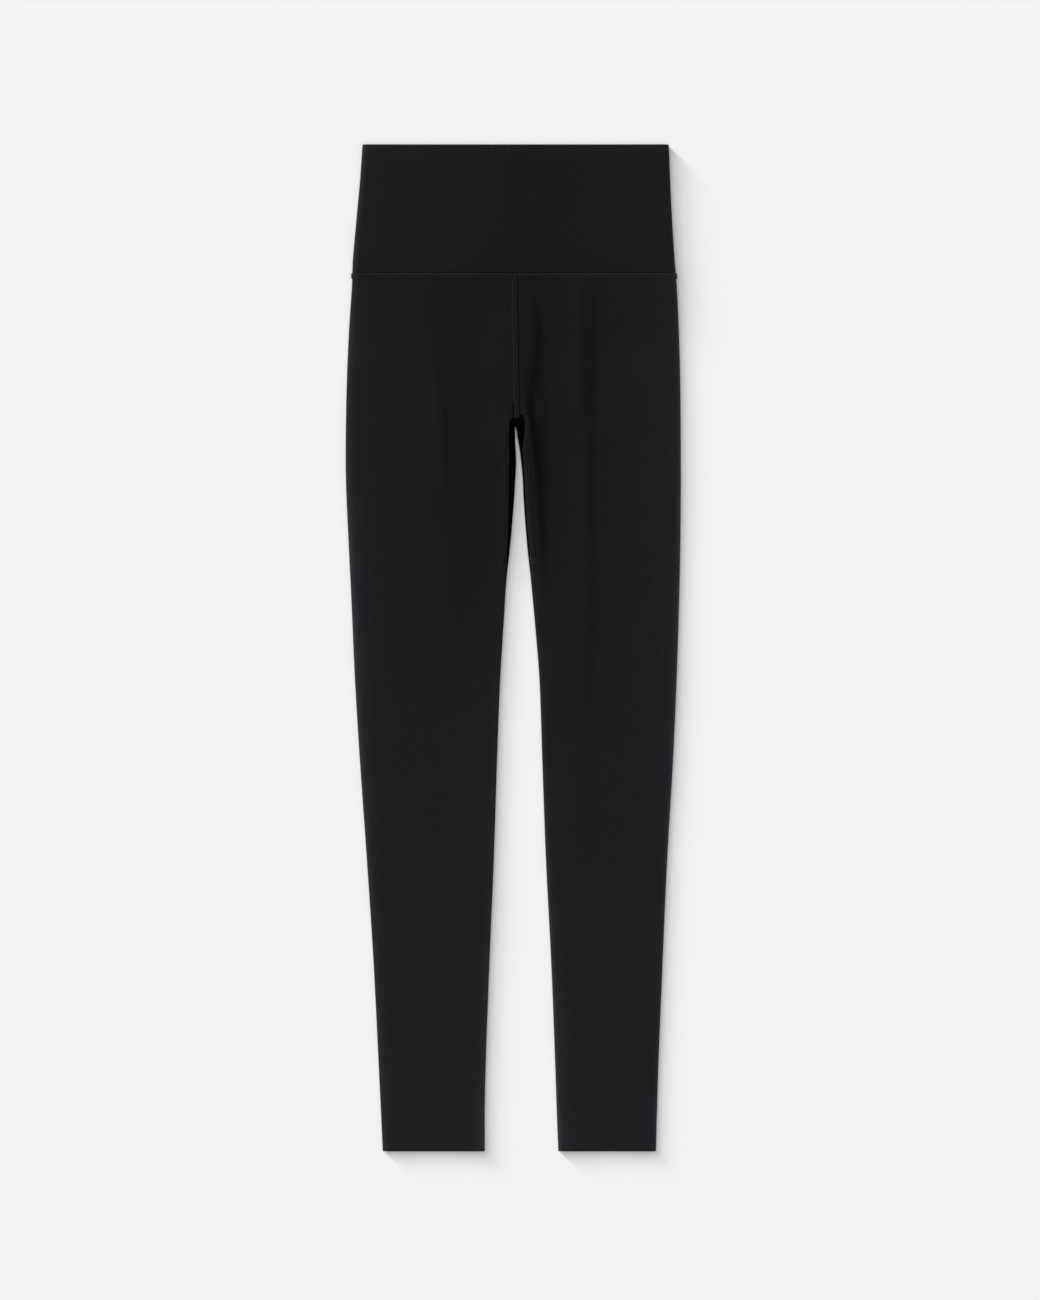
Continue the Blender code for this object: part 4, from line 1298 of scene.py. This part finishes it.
# The thread's own black, painted paler as painted sheen
THREAD_COLOUR_AND_SHEEN = (0.0190, 0.0190, 0.0210)
THREAD_ROUGHNESS = 0.5
THREAD_SPECULAR = 0.13
FIBRE_SCALE = 2600.0        # to the metre
FIBRE_DETAIL = 2.0
FIBRE_DEPTH = 0.9
FIBRE_HEIGHT = 0.05
FIBRE_RELIEF = 0.6
# Along one stitch: share of its length, height of the thread's middle over the furrow
STITCH_SHAPE = ((0.0, -0.26), (0.07, -0.08), (0.2, 0.06), (0.5, 0.09), (0.8, 0.06), (0.93, -0.08))
LACING_HEIGHT = FURROW_DEPTH - 0.02     # of the laced thread's middle over the furrow
LACING_ENDS = (0.06, 0.94)  # how near it goes to each row, as a share of the way across
LACING_TURNS = 4            # of the laced thread to a stitch
FINE_THREAD = 0.5           # share of that thickness where a seam sinks into the cloth
CLEAR = 0.6                 # how far a row of stitches stays from a seam that it comes up to
FRONT_STITCHES_END = 250.0  # down, where the centre front's stitches sink in
FRONT_CLEAR = 0.4           # the same over the arch
ARCH_CLEAR = {-1: 12.0, 1: CLEAR}       # how far under the arch's top the gusset's stitches begin
DIAMOND_CLEAR = 2.0         # the same on the back
POINT_PAST = 8.0            # how far they run on past the gusset's point
HEM_CLEAR = 1.5
BARS = (15.9, 17.8, 19.9, 21.9)         # x of the closing stitches, across the strip
BAR_SHAPE = ((1.2, -0.05), (3.0, 0.12), (5.0, -0.05))   # below the waist seam, height over the cloth
BAR_CLEAR = 1.0             # from the outermost of them to the ends of the waist's rows
LEG_COLUMNS = len(leg_grids[1][0])      # of the grid of a leg, from its front edge to its back edge
EDGE_SKIP = 2               # how many of them at each edge are rolled down into the seam
BAR_COLUMNS = 60            # they lie within this many columns of the right leg's front edge


def thread_material():
    """Glossy twisted polyester thread in black, its colour painted a little lighter than the knit for its
    sheen.
    """
    material, shader = new_material("thread", THREAD_SPECULAR)
    shader.inputs["Roughness"].default_value = THREAD_ROUGHNESS
    tree = material.node_tree
    fibres = noise_node(tree, FIBRE_SCALE, FIBRE_DETAIL)
    dyed = group_node(tree, dye_and_painted_light, {
        "Color": (*THREAD_COLOUR_AND_SHEEN, 1.0),
        "Tone": 1.0,
        "Fleck": fibres,
        "Fleck depth": FIBRE_DEPTH,
    })
    surface(tree, shader, dyed, fibres, FIBRE_RELIEF, FIBRE_HEIGHT)
    return material


def face_line(side, cells):
    """(place, way out of the cloth) at cells of a leg's grid, each a row and a column, in millimetres."""
    grid = leg_grids[side]
    line = []
    for row, column in cells:
        above, below = grid[max(row - 1, 0)], grid[min(row + 1, len(grid) - 1)]
        lengthwise = below[column][0] - above[column][0]
        across = grid[row][min(column + 1, len(grid[row]) - 1)][0] - grid[row][max(column - 1, 0)][0]
        line.append((grid[row][column][0] / MM, (across.cross(lengthwise) * -side).normalized()))
    return line


def line_length(line):
    return sum((end[0] - start[0]).length for start, end in zip(line, line[1:]))


def at_steps(line, distances):
    """(place, way out) at distances along a line, each six numbers in a row."""
    spots = numpy.array([[*spot, *out] for spot, out in line])
    lengths = lengths_along(spots[:, :3])
    return numpy.array([numpy.interp(distances, lengths, spots[:, axis]) for axis in range(6)]).T


def lifted(spots, heights):
    """Points at heights out of the cloth."""
    return [Vector(spot[:3]) + Vector(spot[3:]) * height for spot, height in zip(spots, heights)]


def stitched(line):
    """The path of one row of stitches along a line."""
    count = max(round(line_length(line) / STITCH), 1)
    pitch = line_length(line) / count
    steps = [(number + share, height) for number in range(count) for share, height in STITCH_SHAPE]
    steps.append((count, STITCH_SHAPE[0][1]))
    distances = [step * pitch for step, height in steps]
    return lifted(at_steps(line, distances), [height for step, height in steps])


def laced(first, second):
    """The path of the thread laced slantwise from one row to the other and back."""
    count = LACING_TURNS * max(round(line_length(first) / STITCH), 1)
    shares = numpy.linspace(0.0, 1.0, count + 1)
    near, far = [at_steps(line, shares * line_length(line)) for line in (first, second)]
    spots = [
        between(one, other, LACING_ENDS[number % 2]) for number, (one, other) in enumerate(zip(near, far))
    ]
    return lifted(spots, [LACING_HEIGHT] * len(spots))


def add_threads(name, paths):
    """Tubes of thread along paths, each a radius and its points."""
    data = bpy.data.curves.new(name, "CURVE")
    data.dimensions = "3D"
    data.bevel_depth = THREAD * MM
    data.bevel_resolution = 1
    data.use_fill_caps = True
    for radius, points in paths:
        spline = data.splines.new("POLY")
        spline.points.add(len(points) - 1)
        for point, spot in zip(spline.points, points):
            point.co = (*(spot * MM), 1.0)
            point.radius = radius / THREAD
    tubes = add_object(name, data)
    drawn = bpy.data.meshes.new_from_object(tubes.evaluated_get(bpy.context.evaluated_depsgraph_get()))
    bpy.data.objects.remove(tubes)
    bpy.data.curves.remove(data)
    welded = bmesh.new()
    welded.from_mesh(drawn)
    bpy.data.meshes.remove(drawn)
    bmesh.ops.remove_doubles(welded, verts=welded.verts, dist=WELD * MM)
    bmesh.ops.recalc_face_normals(welded, faces=welded.faces)
    piece = add_object(name, mesh_data(name, welded, thread))
    piece.data.shade_smooth()
    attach(piece, "root")


def seam_paths(first, second, size=1.0):
    """Both rows of a seam and the thread laced between them, each as (radius, points)."""
    return [
        (THREAD * size, stitched(first)),
        (THREAD * size, stitched(second)),
        (LACING * size, laced(first, second)),
    ]


def seam_lines(side, start, end, columns):
    """Lines down a leg between two heights, one in each column of its grid."""
    rows = [row for row, down in enumerate(leg_downs) if start <= down <= end]
    return [face_line(side, [(row, column) for row in rows]) for column in columns]


def waist_line(side, below, last_column):
    """The line across a leg at a distance under the waist seam, up to a column of its grid."""
    row = min(range(len(leg_downs)), key=lambda index: abs(leg_downs[index] - BAND_HEIGHT - below))
    return face_line(side, [(row, column) for column in range(EDGE_SKIP, last_column)])


def round_waist(below):
    """The line at a distance under the waist seam, all round the garment from its closing stitches."""
    right, left = [waist_line(side, below, LEG_COLUMNS - EDGE_SKIP) for side in (1, -1)]
    start = next(index for index, (spot, out) in enumerate(right) if spot.x > BARS[-1] + BAR_CLEAR)
    return right[start:] + left[::-1] + [spot for spot in right[:start] if spot[0].x < BARS[0] - BAR_CLEAR]


def waist_bar(x):
    """A closing stitch across the waist strip."""
    bar = []
    for below, height in BAR_SHAPE:
        line = waist_line(1, below, BAR_COLUMNS)
        spot = min(line, key=lambda spot: abs(spot[0].x - x))[0]
        bar.append(Vector((x, spot.y, spot.z + height)))
    return bar


thread = thread_material()
fronts = [STRIP_COLUMNS.index(step) for step in STITCH_ROWS]
backs = [LEG_COLUMNS - len(BACK_STRIP_COLUMNS) + BACK_STRIP_COLUMNS.index(step) for step in STITCH_ROWS]
waist_paths = seam_paths(*[round_waist(below) for below in WAIST_STITCH_ROWS])
waist_paths += [(THREAD, waist_bar(x)) for x in BARS]
add_threads("waist_stitching", waist_paths)

below_strip = BAND_HEIGHT + WAIST_STRIP + CLEAR
centre_paths = []
for start, end, columns, size in (
    (below_strip, FRONT_STITCHES_END, fronts, 1.0),
    (FRONT_STITCHES_END, ARCH_TOP[-1] - FRONT_CLEAR, fronts, FINE_THREAD),
    (below_strip, DIAMOND_TOP - CLEAR, backs, 1.0),
):
    centre_paths += seam_paths(*seam_lines(-1, start, end, columns), size)
add_threads("centre_stitching", centre_paths)

gusset_paths, inseam_paths = [], []
for side in (-1, 1):
    front_lines = seam_lines(side, ARCH_TOP[side] + ARCH_CLEAR[side], GUSSET_END + POINT_PAST, fronts)
    gusset_paths += seam_paths(*front_lines, FINE_THREAD if side < 0 else 1.0)
    gusset_paths += seam_paths(*seam_lines(side, DIAMOND_TOP + DIAMOND_CLEAR, INSEAM_START, backs))
    inseam_paths += seam_paths(*seam_lines(side, INSEAM_START, LENGTH - HEM_CLEAR, backs))
add_threads("gusset_stitching", gusset_paths)
add_threads("inseam_stitching", inseam_paths)


size = [list(cad_low), list(cad_high), *[list(corner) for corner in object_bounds()]]
